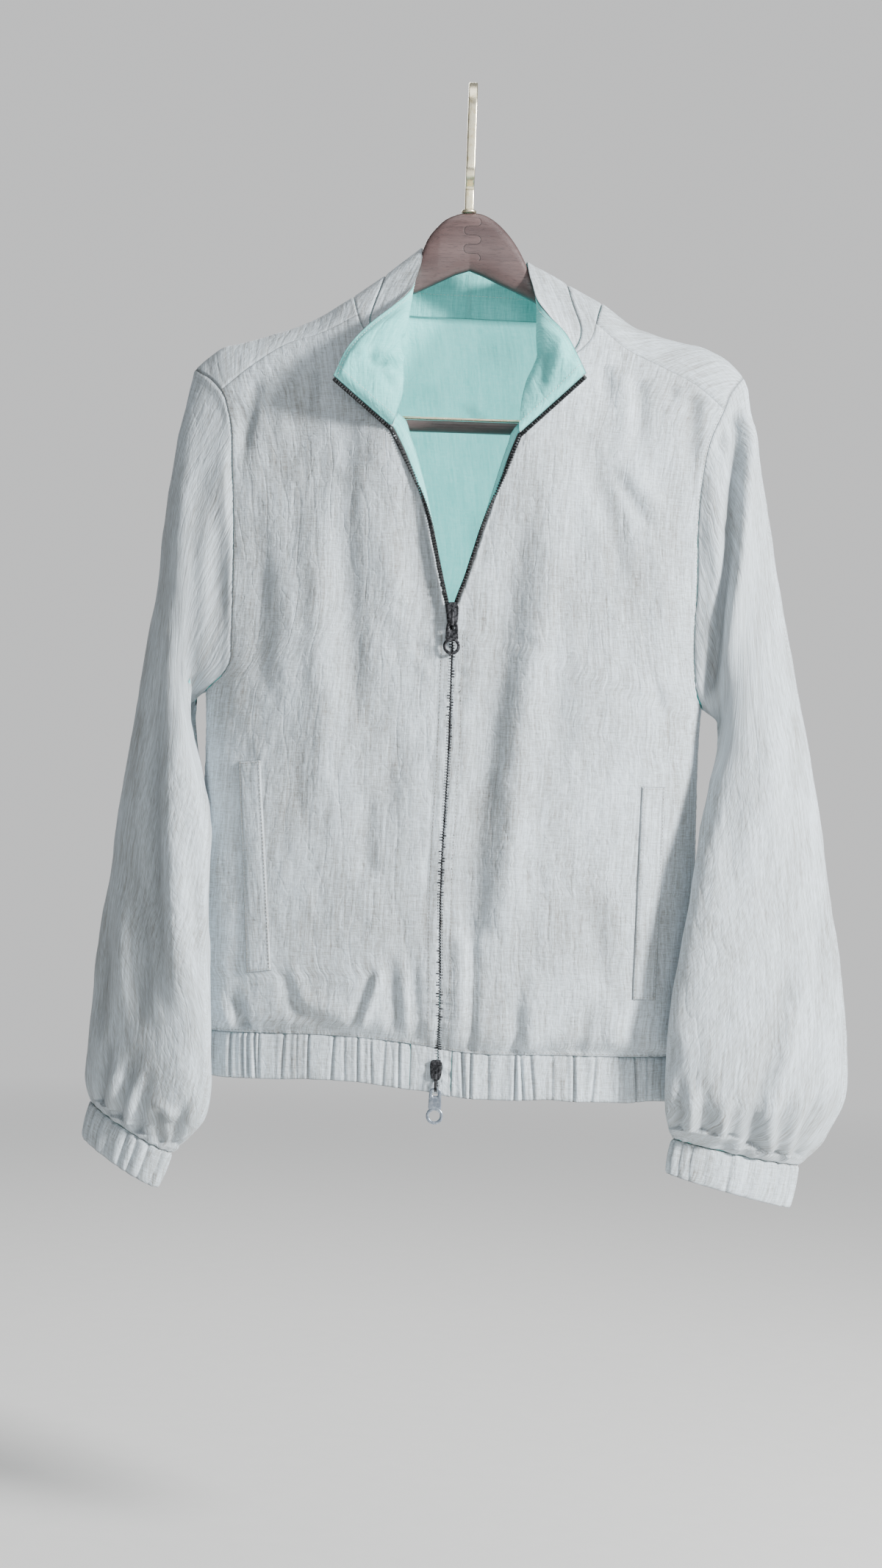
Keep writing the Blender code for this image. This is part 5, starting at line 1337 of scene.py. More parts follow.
def make_back():
    """Back panel with its yoke, and the mint lining seen through the open neck."""
    left, middle = 60, 54
    over, down = steps(36, 1, 0), steps(176, 0, 1)
    grid, normal, cells = back_sheet(left, middle, over, down)
    height = back_height(grid) * ease(edge_gap(grid, "tlr") / 8)
    height = height + rolled(grid, "tblr", 0.6) + puckers(grid, "b", 6.5, 0.9, 9, 11.0)
    out, up = raised(grid, normal, height)
    uv = np.stack([run_of(out, 1) + out[:, :1, 0], -run_of(out, 0)], axis=-1)
    cloth("back_panel", out, up, ["back"], [STONE, MINT], "stone_linen",
          keep=first_twice(cells), uv=uv)
    rows = np.flatnonzero(down <= LINING_SHARE) + len(over) - 1
    part = np.s_[rows[0]:rows[-1] + 1, left:left + middle + 1]
    lining, up = grid[part] - normal[part] * 2.9, normal[part]
    lining = lining + np.array([0, 0, 2.2]) * peak(edge_gap(lining, "t"), 3)[..., None]
    line = folds(lining[..., 0], lining[..., 2], BACK_LINING_FOLDS) + 0.35 * crumple(lining, (20, 20, 30))
    lining = lining - up * ((line * 0.5 + 0.3) * ease(edge_gap(lining, "tblr") / 8))[..., None]
    # The lining's material glows, which is painted light, and painted shade follows its folds
    cloth("lining_back", lining, -up, ["back_lining"], [MINT_BACK_GLOWING, MINT_BACK_GLOWING], "mint_linen",
          thick=0.5, hollow=0.3 * np.clip(line, 0, 1))


# ---- sleeves and cuffs ----

def oval(edges, deep, lean, angle):
    """Oval ring between an outer and an inner edge point, front at 90 degrees."""
    outer, inner = np.array(edges[0:3], float), np.array(edges[3:6], float)
    centre, span = (outer + inner) / 2, (outer - inner) / 2
    way = span / np.linalg.norm(span)
    front = np.array([0, -1.0, 0])
    front = unit(front - way * front.dot(way))
    c, s = np.cos(angle)[:, None], np.sin(angle)[:, None]
    return centre + span * c + front * deep * s + np.array([lean, 0, 0]) * s**2


def armhole(side, angle):
    """Armhole seam at angles round it: the height is a cosine of the angle, in front up to half a turn."""
    top = arm_over(side, 0.0)
    z = top + (UNDERARM - top) * (1 - np.cos(angle)) / 2
    x = arm_x(side, z)
    ahead = angle <= math.pi + 1e-9
    ring = np.where(ahead[:, None], body_point(x, z, FRONT), body_point(x, z, BACK))
    low = peak(angle - math.pi, 0.12)[:, None]
    return ring * (1 - low) + np.array([side * half_width(side, UNDERARM), 0, UNDERARM]) * low


def sleeve_grid(side, down, angle):
    """Sleeve as a tube: ovals between its outer and inner edges, joined smoothly along the arm."""
    rings = [armhole(side, angle) + np.array([side * 0.4, 0, -0.2])]
    for row in SLEEVE[side]:
        rings.append(oval(row, row[6], row[7] * -side, angle))
    rings = np.array(rings)
    flat = np.column_stack([np.arange(len(rings)), rings.reshape(len(rings), -1)])
    grid = curve(flat, range(1, flat.shape[1]), down * (len(rings) - 1))
    return grid.reshape(len(down), -1, 3)


def gathers(grid, angle, count, reach, deep, seed):
    """Folds that run up a tube from its foot: a cosine round it, uneven, dying away over reach."""
    place = spot(np.cos(angle) * 30 + seed, np.sin(angle) * 30, 0)
    phase = count * angle + 1.6 * crumple(place, (14, 14, 1))
    strength = np.clip(0.7 + 0.6 * crumple(place + 40, (9, 9, 1)), 0.15, 1.4)
    length = reach * (0.6 + 0.5 * np.clip(crumple(place + 80, (11, 11, 1)), -1, 1))
    return deep * np.cos(phase) * strength * np.exp(-(edge_gap(grid, "b") / length)**1.3)


def make_sleeve(side):
    """One sleeve, gathered into its cuff."""
    name = NAME[side]
    down, angle = steps(240, 1, 1), np.linspace(0, 2 * math.pi, 97)
    grid = sleeve_grid(side, down, angle)
    normal = grid_normals(grid, True, side)
    x, z = grid[..., 0], grid[..., 2]
    ahead, behind = ease((0.1 - normal[..., 1]) / 0.5), ease((normal[..., 1] + 0.1) / 0.5)
    rough = 0.9 * crumple(grid, (26, 26, 60)) + 0.45 * crumple(grid + 13, (11, 11, 22))
    rough = rough + 0.14 * crumple(grid, (6, 6, 9))
    hold = ease(edge_gap(grid, "t") / 9)
    foot = edge_gap(grid, "b")
    placed = (folds(x, z, SLEEVE_FOLDS[side]) * ahead + folds(x, z, BACK_SLEEVE_FOLDS[side]) * behind) * hold
    pleats = gathers(grid, angle, 21, 26, 1.9, 5.0 * side) * (0.3 + 0.7 * ease(foot / 7))
    height = (placed + rough * hold) * (0.35 + 0.65 * ease(foot / 5))
    height = height + pleats + puckers(grid, "t", 8, 0.3, 4)
    height = height + rolled(grid, "t", 0.5) + rolled(grid, "b", 0.9, 0.8)
    # Painted shade at the bottom of the deep folds and the gathers
    shade = TROUGH_SHADE * np.clip(-(placed + 1.6 * pleats) / 5, 0, 1)
    out, up = raised(grid, normal, height, closed=True)
    cloth(f"sleeve_{name}_gathered", out, up, [f"sleeve_{name}"], [STONE, MINT], "stone_linen",
          closed=True,
          hollow=first_twice(shade))


def make_cuff(side):
    """Elastic cuff: the sleeve's last ring to its hem, with sharp uneven gathers."""
    name = NAME[side]
    angle = np.linspace(0, 2 * math.pi, 337)
    t = steps(16, 1, 1)
    last, hem = SLEEVE[side][-1], CUFF[side]
    first_ring, last_ring = oval(last, last[6] - 1.0, 0, angle), oval(hem, hem[6], 0, angle)
    grid = first_ring + (last_ring - first_ring) * t[:, None, None]
    way = np.array([hem[k] - last[k] + hem[k + 3] - last[k + 3] for k in range(3)]) / 2
    grid = grid + unit(way) * CUFF_SEAM * (1 - t)[:, None, None]
    normal = unit(grid - grid.mean(axis=1, keepdims=True))
    place = spot(np.cos(angle) * 30 + side * 7, np.sin(angle) * 30, 0)
    phase = CUFF_FOLDS / 2 * angle + 0.8 * crumple(place, (12, 12, 1))
    strength = np.clip(0.75 + 0.55 * crumple(place + 20, (7, 7, 1)), 0.2, 1.3)
    sharp = 1 - 2 * np.abs(np.sin(phase))**0.6
    slant = 0.36 * np.sin(3 * angle + side) * t[:, None]
    lean = 1 - 2 * np.abs(np.sin(phase + slant))**0.6
    fold = -1.7 * strength * (0.35 * sharp + 0.65 * lean)
    height = fold + np.sin(math.pi * t)[:, None] + rolled(grid, "tb", 0.9)
    out, up = raised(grid, normal, height, closed=True)
    # Painted shade in the troughs of the cuff's gathers
    cloth(f"cuff_{name}_gathered", out, up, [f"cuff_{name}"], [STONE, MINT], "stone_linen",
          closed=True,
          hollow=first_twice(0.6 * np.clip(-fold - 0.5, 0, 1)))
    return out, grid_normals(out, True, side)


# ---- waistband ----

def band_height(x, t, table):
    """Thin uneven folds down the band: a narrow trough with a soft ridge on each side of it."""
    total = 0 * x * t
    for place, slant, deep in table:
        gap = x - place - slant * t
        total = total + deep * (0.6 * peak(np.abs(gap) - 2.8, 2.0) - 1.3 * peak(gap, 0.9))
    return total


def make_band(name, count):
    """One part of the elastic waistband, straight down from the body's lower edge."""
    t = steps(18, 1, 1)[:, None]
    if name == "back":
        u = np.linspace(-1, 1, count + 1)
        half = np.where(u < 0, half_width(LEFT, band_top(-200.0)), half_width(RIGHT, band_top(200.0)))
        x = half * np.sin(u * math.pi / 2) * BAND_SIDE
        rng = np.random.default_rng(5)
        places = np.linspace(-176, 180, 27) + rng.uniform(-4, 4, 27)
        table = list(zip(places, rng.uniform(-2, 2, 27), rng.uniform(0.6, 1.6, 27)))
        face, rests = BACK, ["back_panel"]
    else:
        side = LEFT if name == "left" else RIGHT
        start, end = TAB_EDGE[side], side * half_width(side, band_top(side * 200.0)) * BAND_SIDE
        x = start + (end - start) * np.sin(np.linspace(0, 1, count + 1) * math.pi / 2)
        table = BAND_FOLDS[name]
        face, rests = FRONT, [f"front_panel_{name}"]
    top = band_top(x, face == BACK)
    hem = 0.5 * crumple(spot(x, 0, 0), (22, 1, 1))
    grid = np.repeat(body_point(x, top - BAND_SEAM, face)[None], len(t), axis=0)
    grid[..., 2] = top - BAND_SEAM - (BAND_HEIGHT - BAND_SEAM + hem) * t
    normal = body_normal(x, top - 6.0, face)
    normal[:, 2] = 0
    normal = np.repeat(unit(normal)[None], len(t), axis=0)
    fold = band_height(x[None], t, table)
    place = spot(x, 40 * t, 0)
    rough = 0.5 * crumple(place, (9, 60, 1)) + 0.3 * crumple(place + 5, (4, 40, 1))
    height = fold + rough + np.sin(math.pi * t)**0.7 + rolled(grid, "tb", 0.9) + rolled(grid, "lr", 0.6)
    out, up = raised(grid, normal, height)
    # Painted shade in the troughs of the band's folds
    cloth(f"waistband_{name}_gathered", out, up, [f"waistband_{name}"], [STONE, MINT], "stone_linen",
          hollow=first_twice(0.45 * np.clip(-fold / 1.6, 0, 1)))


def make_tab(side):
    """Plain end of the waistband beside the zip."""
    name = NAME[side]
    t, u = steps(18, 1, 1)[:, None], steps(18, 1, 1)[None]
    start = front_edge(side, -800.0)
    x = start + (TAB_EDGE[side] - side * 0.2 - start) * u + 0 * t
    top = band_top(x) - BAND_SEAM
    grid = body_point(x, top, FRONT)
    grid[..., 2] = top - (BAND_HEIGHT - BAND_SEAM + 0.4 * np.sin(x / 6)) * t
    normal = np.zeros_like(grid)
    normal[..., 1] = -1
    height = placket(side, x, grid[..., 2]) * 0.8 + rolled(grid, "tblr", 0.6) + 0.3
    out, up = raised(grid, normal, height)
    cloth(f"waistband_end_{name}", out, up, [f"zip_tab_{name}"], [STONE, MINT], "stone_linen")


# ---- collar ----

def collar_part(s, low, high, count):
    """Grid on the collar's outer face between two heights for each station, from the top edge down."""
    t = steps(count, 1, 1)[:, None]
    return collar_point(s + 0 * t, high + (low - high) * t)


def flap_folds(grid):
    """Folds of the collar's inside on its two turned-out ends."""
    return folds(grid[..., 0], grid[..., 2], FLAP_FOLDS) * ease((-grid[..., 1] - 4) / 14)


def seen(grid):
    """Cloth coordinates of the collar, whose threads hang straight: across it, and its height."""
    x, y, z = np.moveaxis(grid, -1, 0)
    return np.stack([x + 0.7 * y * np.sign(x - 4), z], axis=-1)


def make_collar():
    """Collar above its wedge, the wedge, and the mint lining of both.

    It returns the lining's visible face and its normals.
    """
    s = np.sort(np.concatenate([np.linspace(0, LAST_STATION, 185), [0.03, 0.06, 17.94, 17.97]]))
    outer = collar_part(s, through(WEDGE, 1, s) + WEDGE_GAP, 1 + 0 * s, 30)
    normal = grid_normals(outer)
    height = 0.35 * crumple(outer, (18, 18, 24)) * ease(edge_gap(outer, "tblr") / 6) + rolled(outer, "b", 0.8)
    out = outer + normal * height[..., None]
    cloth("collar_outside", out, normal, ["collar"], [STONE, STONE], "stone_linen",
          thick=0.8, uv=seen(out))

    s_wedge = np.linspace(WEDGE_FIRST, WEDGE_LAST, 161)
    edge = through(WEDGE, 1, s_wedge)
    tip = np.minimum(edge, WEDGE_TIP)
    wedge = collar_part(s_wedge, 0.075 * tip, edge - WEDGE_GAP * tip / WEDGE_TIP * 0.6, 24)
    normal = grid_normals(wedge)
    out = wedge + normal * rolled(wedge, "tb", 0.8)[..., None]
    cloth("collar_neck_band", out, normal, ["collar_wedge"], [STONE, STONE], "stone_linen",
          thick=0.8, uv=seen(out))

    hidden = peak(s - 6.7, 0.8) + peak(s - 11.7, 0.8)
    lining = collar_part(s, 0.012 + 0 * s, 0.996 - 0.14 * hidden, 48)
    inside = -grid_normals(lining)
    near_edge = edge_gap(lining, "tlr")
    down = run_of(lining, 0)
    turned = peak(s - 3.0, 1.05) - peak(s - 15.0, 1.05)
    lining[..., 0] += NECK_ROLL * turned * np.sin(math.pi * (1 - down / down[-1:]))**0.7
    apart = 4.2 * ease(near_edge / 6) * (1 - 0.8 * hidden) + 1.0
    line = flap_folds(lining) + 0.35 * crumple(lining, (16, 16, 20)) + 0.15 * crumple(lining, (6, 6, 8))
    line = np.maximum(line * ease(near_edge / 6) * ease(edge_gap(lining, "b") / 5), -3.9)
    # Painted shade in the creases of the collar's inside
    shade = 0.55 * np.clip(-line / 4, 0, 1)**1.5
    line = line - 0.35 * peak(edge_gap(lining, "t") - 3.2, 0.9)
    line = line - 0.35 * peak(edge_gap(lining, "lr") - 9.5, 0.9)
    lined = lining + inside * (apart + line)[..., None]
    cloth("collar_inside", lined, inside, ["collar_lining"], [MINT, MINT], "mint_linen",
          thick=0.5, hollow=shade, uv=seen(lined))
    return lined, inside


# ---- pockets ----

def make_welt(side):
    """Pocket welt: a raised strip stitched down all round, on the front's finished face."""
    name = NAME[side]
    a, b, c, d = (np.array(corner, float) for corner in WELT[side])
    v, u = steps(96, 1, 1)[:, None, None], steps(16, 1, 1)[None, :, None]
    flat = (a * (1 - u) + b * u) * (1 - v) + (d * (1 - u) + c * u) * v
    x, z = flat[..., 0], flat[..., 1]
    base, normal = body_point(x, z, FRONT), body_normal(x, z, FRONT)
    base = base + normal * (front_height(side, x, z)[0] + placket(side, x, z))[..., None]
    gap = edge_gap(base, "tblr")
    height = 2.0 - 1.6 * peak(gap, 0.9) - 0.5 * peak(gap - 2.6, 0.8) + 0.12 * crumple(base, (9, 9, 14))
    out = base + normal * height[..., None]
    # Painted shade in the groove along the welt's stitch line
    cloth(f"pocket_{name}", out, normal, [f"pocket_welt_{name}"], [STONE, STONE], "stone_linen",
          thick=0.7, hollow=0.3 * peak(gap - 2.6, 0.6))
    return out, normal


# ---- zip ----

def slider_face(data):
    """Plane that the slider's back lies on, just in front of the zip."""
    levels = np.array([data["top"], max(data["top"] - data["body"], -790.0)])
    return float(body_point(np.full(2, -2.0), levels, FRONT)[:, 1].min()) - 0.5


def zip_line(side, count=900):
    """Edge of a front and collar end that the zip runs along, with the direction across its tape.

    The last value is the length along it from the neck seam. Beside the neck the tape twists: it faces
    sideways there, and turns to the front further down.
    """
    top = np.array(COLLAR[0 if side < 0 else -1][2:5], float)
    base = neck_point(mirrored(side, 0.0))
    seam = band_top(side * 4.0)
    z = np.linspace(base[2], seam - BAND_HEIGHT + 5, count)
    edge = body_point(open_edge(side, z), np.maximum(z, seam - BAND_SEAM), FRONT)
    edge[:, 2] = z
    flap = top + (base - top) * np.linspace(0.03, 1, 70)[:-1, None]
    line = np.concatenate([flap, edge])
    line[1:-1] = (line[:-2] + line[1:-1] * 2 + line[2:]) / 4
    way = unit(np.gradient(line, axis=0))
    run = run_of(line, 0)
    gap = run - run[len(flap)]
    turn = np.interp(gap, [-20, 8, 22, 44, 70, 96], [2, 2, 1.8, 1.2, 0.6, 0])
    line = line - np.array([0, 1.0, 0]) * (ZIP_RISE * np.minimum(turn, 1))[:, None]
    angle = turn[:, None] * math.pi / 2
    across = tape_way(side, way) * np.cos(angle) + np.array([0, -1.0, 0]) * np.sin(angle)
    return line, across, way, gap


def tape_way(side, way):
    """Directions square to the zip's line and level with the front, away from the cloth."""
    return unit(spot(-way[:, 2], 0, way[:, 0])) * -side


def make_zip(side):
    """Zip half: a narrow tape along the edge and its row of metal teeth, each with a knob on its base."""
    name = NAME[side]
    line, across, way, _ = zip_line(side)
    face = unit(np.cross(way, across)) * side
    face = face * np.sign(np.sum(face * np.array([0, -1.0, 0.02]), axis=-1, keepdims=True) + 1e-9)
    line = line - face * zip_shut(line[:, 2])[:, None]
    wide = np.linspace(-0.8, 3.2, 4)
    tape = line[::3][:, None] + across[::3][:, None] * wide[:, None] - face[::3][:, None] * 0.5
    faces, plain = grid_faces(len(tape), len(wide), flip=side > 0)
    flat = np.stack(np.broadcast_arrays(wide, -run_of(tape, 0)), axis=-1)
    piece = new_piece(f"zip_tape_{name}", tape.reshape(-1, 3), faces, "jacket", "gunmetal", [TAPE],
                      [f"zip_{name}"], flat.reshape(-1, 2)[plain.ravel()])
    shell(piece, 0.6, 0)
    mirror = np.array([1, -side, 1])
    faces = TOOTH_FACES if side < 0 else TOOTH_FACES[:, ::-1]
    shapes = [(TOOTH_BASE * mirror, faces), (TOOTH_KNOB * mirror, faces),
              ((TOOTH_KNOB + [0, 1.3, 0.05]) * mirror, faces)]
    end = TOOTH_KNOB[:, [0, 2, 1]] * np.array([1, -1, 1])
    for rise in (0.3, -0.5):
        shapes.append(((end + [0, -0.55, rise]) * mirror, faces[:, ::-1]))
    teeth = copies(*joined(*shapes), *along(line + across * 1.7, face, 2.3, 1.0, 2.0))
    new_piece(f"zip_teeth_{name}", *teeth, "jacket", "gunmetal", [GUNMETAL], smooth=False)


def make_facing(side):
    """Mint facing just inside the zip: a strip behind the teeth that shows inside the open front."""
    name = NAME[side]
    line, _, way, gap = zip_line(side)
    part = (gap > -7) & (line[:, 2] > FACING_SHOWN[0])
    line, way = line[part][::4], way[part][::4]
    shown = np.interp(line[:, 2], FACING_SHOWN, FACING_WIDTH[side])[:, None, None]
    u = np.linspace(0, 1, 7)[:, None]
    grid = line[:, None] + tape_way(side, way)[:, None] * u * shown
    grid[..., 1] += 2.4 + 3.5 * u[:, 0]**1.5 + 0.5 * crumple(grid, (9, 9, 12))
    cloth(f"facing_{name}", grid, grid_normals(grid) * side, [], [MINT, MINT], "mint_linen",
          thick=0.5)


def make_slider(data, name):
    """Slider: a tapered plate with a bridge over the pull's pin.

    Where the bridge ends below the plate, a bar runs down to it.
    """
    y = slider_face(data)
    x, top, low, pin = data["x"], data["top"], data["top"] - data["body"], data["pin"]
    c, s = np.cos(turns(48)), np.sin(turns(48))
    half_w = SLIDER_HALF * (0.86 + 0.14 * s) * squared(c, 0.55)
    half_h = data["body"] / 2 * squared(s, 0.6)
    outline = np.stack([x + half_w, (top + low) / 2 + half_h], axis=-1)
    shapes = [slab(outline, y - SLIDER_PLATE / 2, SLIDER_PLATE)]
    high, deep = min(top - 1.0, pin + data["bail"]), pin - 2.8
    reach = y - SLIDER_PLATE
    bridge = np.array([
        (high - 1.2, 0.4), (high - 1.2, -1.2), (high - 1.8, -2.4), (high - 3.2, -2.9), (pin + 2.4, -2.9),
        (pin, -2.9), (deep + 1.9, -2.8), (deep + 1.0, -2.2), (deep + 0.75, -1.0), (deep + 0.75, 0.5)])
    rows = np.column_stack([np.arange(len(bridge)), bridge[:, 0], reach + bridge[:, 1]])
    path = curve(rows, (1, 2), np.linspace(0, len(bridge) - 1, 46))
    across = np.array([1.0, 0, 0])
    shapes.append(tube(spot(x, path[:, 1], path[:, 0]), BAIL_HALF, BAIL_BAR / 2, across, 12, 4.0))
    if deep < low + 0.5:
        foot = spot(x, reach + np.array([0.5, 0.6, 0.6]), np.array([low + 2.0, (low + deep) / 2, deep]))
        shapes.append(tube(foot, BAIL_HALF, 0.6, across, 12, 4.0))
    new_piece(f"zip_slider_{name}", *joined(*shapes), "jacket", "gunmetal", [GUNMETAL], [f"slider_{name}"])


def make_pull(data, name, material):
    """Pull tab: a frame round a slot that hangs on the pin, running into a round ring."""
    y = slider_face(data) - SLIDER_PLATE - BAIL_RISE / 2
    half, ring_z = PULL_WIDTH / 2, PULL_WIDTH / 2 - data["pull"]
    c, s = np.cos(turns(64)), np.sin(turns(64))
    top, foot, slot = PIN_RADIUS, ring_z + PULL_HOLE + 0.2, 5.6
    width = np.interp(s, [-1, -0.2, 1], [6.3, 5.2, 4.5])
    outlines = [
        (width * squared(c, 0.45), (top + foot) / 2 + (top - foot) / 2 * squared(s, 0.45)),
        (SLOT_HALF * squared(c, 0.6), (-slot - top) / 2 + (slot - top) / 2 * squared(s, 0.5)),
        (half * c, ring_z + half * s),
        (PULL_HOLE * c, ring_z + PULL_HOLE * s)]
    frame_out, frame_in, ring_out, ring_in = (
        np.stack(outline, axis=-1) + [data["x"], data["pin"]] for outline in outlines)
    shapes = [washer(frame_out, frame_in, y, PULL_THICK, square=4.5),
              washer(ring_out, ring_in, y, PULL_THICK)]
    new_piece(f"zip_pull_{name}", *joined(*shapes), f"pull_{name}", "gunmetal", [material],
              [f"pull_tab_{name}"])


# ---- hanger ----

def make_hanger():
    """Two shaped arms in one body, the trouser bar with its brass rod, and the hook."""
    table = np.array(ARM_PROFILE)
    x = np.unique(np.concatenate([table[:, 0], np.linspace(-205, 210, 190)]))
    low, deep = (np.interp(x, table[:, 0], table[:, column]) for column in (2, 3))
    top = through(ARM_PROFILE, 1, x)
    out = np.abs(x - 4)
    rest = through(CREST, 1, x) - 1.5 - REST_GAP - 3 * ease((out - 165) / 40)
    top = top + (rest - top) * ease((out - ARM_REST + 12) / 24)
    angle = turns(40)
    c, s = squared(np.cos(angle), 2 / 2.6), squared(np.sin(angle), 2 / 2.6)
    rings = spot(x[:, None], deep[:, None] * s, ((top + low) / 2)[:, None] + ((top - low) / 2)[:, None] * c)
    ends = rings[[0, -1]].mean(axis=1, keepdims=True).repeat(len(angle), 1)
    rings = np.concatenate([ends[:1], rings, ends[1:]])
    faces, _ = grid_faces(len(rings), len(angle) + 1, closed=True, flip=True)
    # Painted shade: a dark line along the top and bottom edges of the arms, where the wood turns away
    edge = peak(np.sin(angle), 0.3)[None].repeat(len(rings), 0)
    new_piece("hanger_wood", rings.reshape(-1, 3), faces, "jacket", "walnut", [WALNUT], ["hanger_arms"],
              hollow=edge.ravel())
    up = np.array([0, 0, 1.0])
    bar_x = np.concatenate([[BAR_LEFT, BAR_LEFT + 0.01], np.linspace(BAR_LEFT + 0.5, BAR_RIGHT - 0.5, 90),
                            [BAR_RIGHT - 0.01, BAR_RIGHT]])
    new_piece("trouser_bar_wood", *tube(spot(bar_x, 0, BAR_Z), BAR_RADIUS, BAR_RADIUS, up, 32),
              "jacket", "walnut", [WALNUT], ["trouser_bar"])
    rod_x = np.linspace(BAR_LEFT + 2, BAR_RIGHT - 2, 60)
    rod_z = BAR_Z + BAR_RADIUS + ROD_RADIUS + 0.3
    new_piece("bar_brass_rod", *tube(spot(rod_x, 0, rod_z), ROD_RADIUS, ROD_RADIUS, up, 16),
              "jacket", "brass", [BRASS], ["bar_rod"])
    new_piece("hanger_hook", *hook_shape(), "jacket", "brass", [BRASS], ["hook"])


def hook_shape():
    """Square brass bar with rounded edges: up from its ring, forward in an S bend, and over the top."""
    r = HOOK_RADIUS + HOOK_BAR / 2
    foot = BEND_FOOT + 8
    bend = np.linspace(0, math.pi / 2, 13)
    lower = np.stack([-BEND + BEND * np.cos(bend), foot + BEND * np.sin(bend)], axis=-1)
    upper = np.stack([-r + BEND - BEND * np.sin(bend), foot + 2 * BEND - BEND * np.cos(bend)], axis=-1)
    rise = np.stack([np.full(12, -r), np.linspace(upper[-1, 1], -HOOK_RADIUS, 14)[1:-1]], axis=-1)
    over = np.linspace(0, math.pi, 60)
    arc = np.stack([-r * np.cos(over), -HOOK_RADIUS + r * np.sin(over)], axis=-1)
    tip = np.array([(r, -22.0), (r, -26.0), (r, -27.6), (r, -28.0)])
    start = [(0, HOOK_FOOT), (0, HOOK_FOOT + 3), (0, foot - 4)]
    path = np.concatenate([start, lower, upper[1:], rise, arc, tip])
    half = np.full(len(path), HOOK_BAR / 2)
    half[-3:] *= np.array([0.985, 0.93, 0.8])
    bar = tube(spot(0, path[:, 0], path[:, 1]), half, half, np.array([1.0, 0, 0]), 40, 7.0)
    circle = np.stack([np.cos(turns(48)), np.sin(turns(48))], axis=-1)
    points, faces = washer(6.2 * circle, 3.4 * circle, 0, 2.4, 12)
    points = points[:, [0, 2, 1]] + np.array([0, 0, HOOK_FOOT + 0.4])
    return joined(bar, (points, faces[:, ::-1]))


# ---- assembly ----

def seam_lines(fronts, cuffs, welts, lined, inside):
    """All the rows of stitches, as (points, normals), stone ones and mint ones."""
    stone, mint = [], []
    for side in (LEFT, RIGHT):
        stone.append(beside(*fronts[side], "b", 2.2))
        edge, up = beside(*fronts[side], "l", 9.0)
        shut = edge[:, 2] < -452
        stone.append((edge[shut], up[shut]))
        edge, up = beside(*fronts[side], "r", 1.6)
        arm = edge[:, 2] > UNDERARM + 20
        stone.append((edge[arm], up[arm]))
        stone.append(beside(*cuffs[side], "t", 1.6))
        stone.extend(beside(*welts[side], edge, 2.4) for edge in "tblr")
    mint.append(beside(lined, inside, "t", 3.2))
    arc, up = beside(lined, inside, "b", 20)
    behind = (np.abs(arc[:, 0] - 5) < 52) & (arc[:, 1] > 0)
    mint.append((arc[behind], up[behind]))
    mint.extend(beside(lined, inside, edge, 9.5) for edge in "lr")
    return stone, mint


def build():
    """Every piece of the jacket and its hanger."""
    make_hanger()
    fronts = {side: make_front(side) for side in (LEFT, RIGHT)}
    make_back()
    for side in (LEFT, RIGHT):
        make_sleeve(side)
    cuffs = {side: make_cuff(side) for side in (LEFT, RIGHT)}
    for name, count in (("left", 300), ("right", 320), ("back", 420)):
        make_band(name, count)
    for side in (LEFT, RIGHT):
        make_tab(side)
        make_zip(side)
        make_facing(side)
    welts = {side: make_welt(side) for side in (LEFT, RIGHT)}
    stone, mint = seam_lines(fronts, cuffs, welts, *make_collar())
    for data, name, metal in ((UPPER, "upper", GUNMETAL), (LOWER, "lower", PULL_GREY_PAINTED_SKY)):
        make_slider(data, name)
        make_pull(data, name, metal)
    stitches("stitching_stone", stone, THREAD, "stone_linen")
    stitches("stitching_mint", mint, MINT_THREAD, "mint_linen")


# ---- studio ----

def backdrop():
    """Pale round floor that fades out into the pale surround."""
    r = Recipe("pale_floor", Roughness=0.9)
    far = r.node("ShaderNodeVectorMath", {"operation": "LENGTH"}, {0: r.places("Object", (1, 1, 0))}, out=1)
    colour = r.mix(r.noise("Object", (40, 40, 40), 3.0), (0.79, 0.79, 0.78), (0.83, 0.83, 0.82))
    r.finish(Base_Color=colour, Alpha=r.spread(far, 1.2, 3.6, 1.0, 0.0))
    rim = spot(4 * np.cos(turns(64)), 4 * np.sin(turns(64)), FLOOR_Z)
    mesh = bpy.data.meshes.new("studio_floor")
    mesh.from_pydata(rim.tolist(), [], [list(range(len(rim)))])
    mesh.materials.append(r.material)
    floor = bpy.data.objects.new("studio_floor", mesh)
    bpy.context.scene.collection.objects.link(floor)


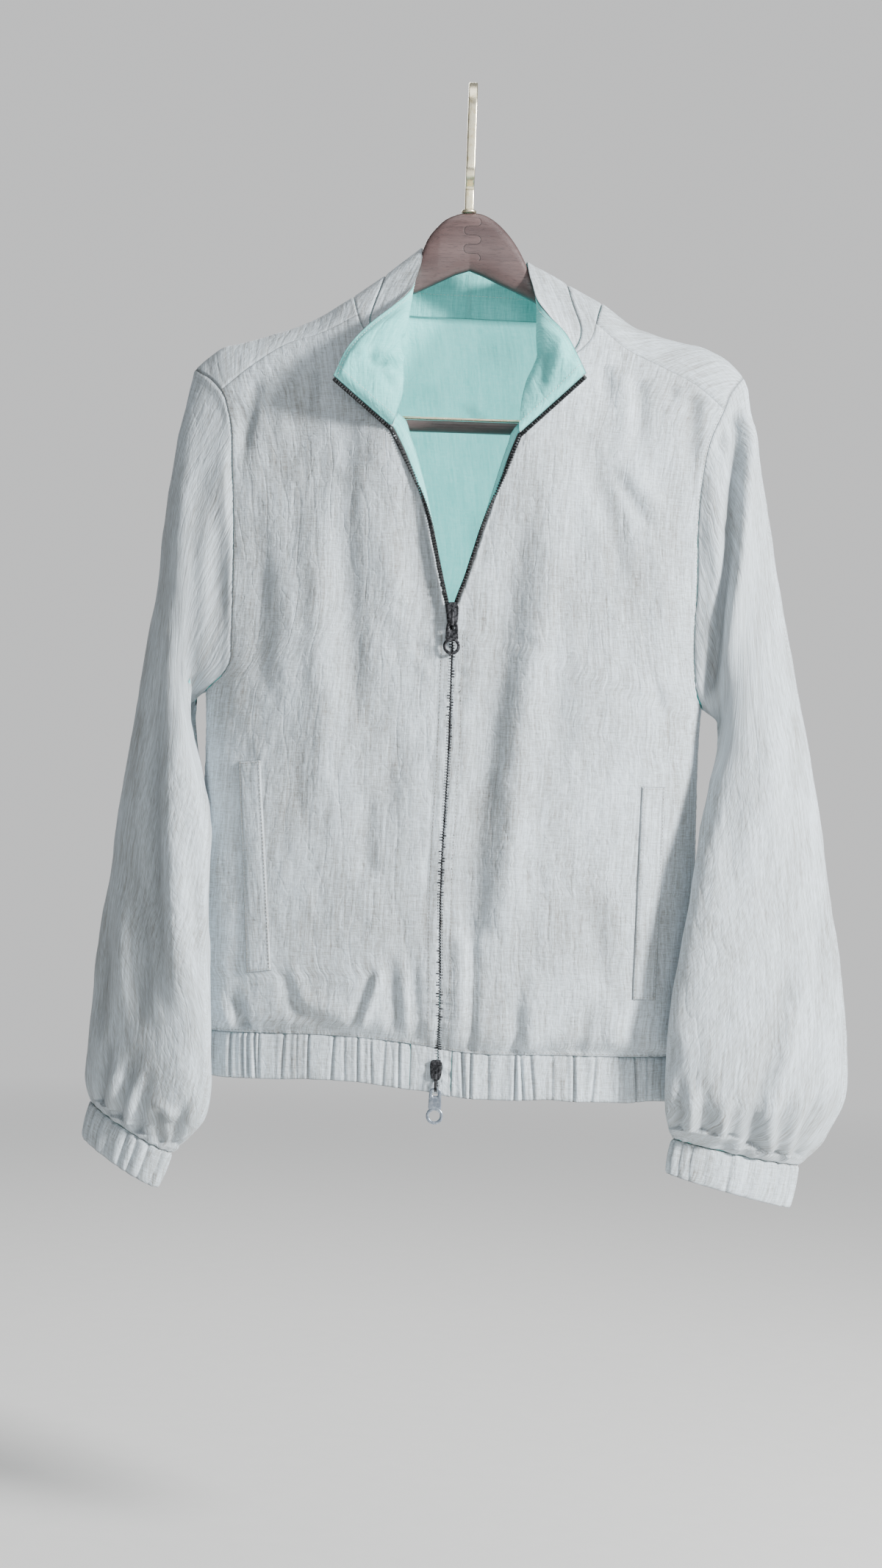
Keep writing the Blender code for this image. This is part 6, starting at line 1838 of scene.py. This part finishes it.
def light(name, place, aim, power, size, colour=(1, 1, 1)):
    """Soft area light that looks at a point, in metres."""
    lamp = bpy.data.lights.new(name, "AREA")
    lamp.energy, lamp.size, lamp.color = power, size, colour
    made = bpy.data.objects.new(name, lamp)
    bpy.context.scene.collection.objects.link(made)
    x, y, z = np.array(aim, float) - np.array(place, float)
    made.location = place
    made.rotation_euler = (math.pi / 2 + math.atan2(z, math.hypot(x, y)), 0, -math.atan2(x, y))


def surround():
    """Pale world, brighter to the camera than to the jacket."""
    world = bpy.data.worlds.new("studio")
    bpy.context.scene.world = world
    world.use_nodes = True
    tree = world.node_tree
    around, shown = tree.nodes["Background"], tree.nodes.new("ShaderNodeBackground")
    for node, colour, strength in ((around, (0.90, 0.96, 1.0, 1), 0.16),
                                   (shown, (0.97, 0.975, 0.98, 1), 0.8)):
        node.inputs["Color"].default_value = colour
        node.inputs["Strength"].default_value = strength
    paths, mixed = tree.nodes.new("ShaderNodeLightPath"), tree.nodes.new("ShaderNodeMixShader")
    tree.links.new(paths.outputs["Is Camera Ray"], mixed.inputs[0])
    tree.links.new(around.outputs[0], mixed.inputs[1])
    tree.links.new(shown.outputs[0], mixed.inputs[2])
    tree.links.new(mixed.outputs[0], tree.nodes["World Output"].inputs[0])


def studio():
    """Soft daylight from the right in front, a frontal fill that reaches inside, and the camera."""
    light("key", (2.55, -1.62, 0.6), (0, 0, -0.5), 270, 0.5, (1.0, 0.995, 0.985))
    light("front", (0.3, -2.8, 0.2), (0, 0, -0.5), 12, 1.0, (0.95, 0.98, 1.0))
    light("top", (0.1, -0.6, 1.7), (0, 0, -0.3), 18, 1.5)
    light("back", (-0.6, 2.1, 0.8), (0, 0, -0.4), 36, 1.2)
    surround()
    camera = bpy.data.cameras.new("camera")
    camera.sensor_width, camera.lens = 36, LENS
    viewer = bpy.data.objects.new("camera", camera)
    bpy.context.scene.collection.objects.link(viewer)
    turned = Matrix.Rotation(math.radians(90), 4, "X") @ Matrix.Rotation(math.radians(TILT), 4, "Z")
    viewer.matrix_world = Matrix.Translation(CAMERA) @ turned
    bpy.context.scene.camera = viewer


build()
backdrop()
studio()
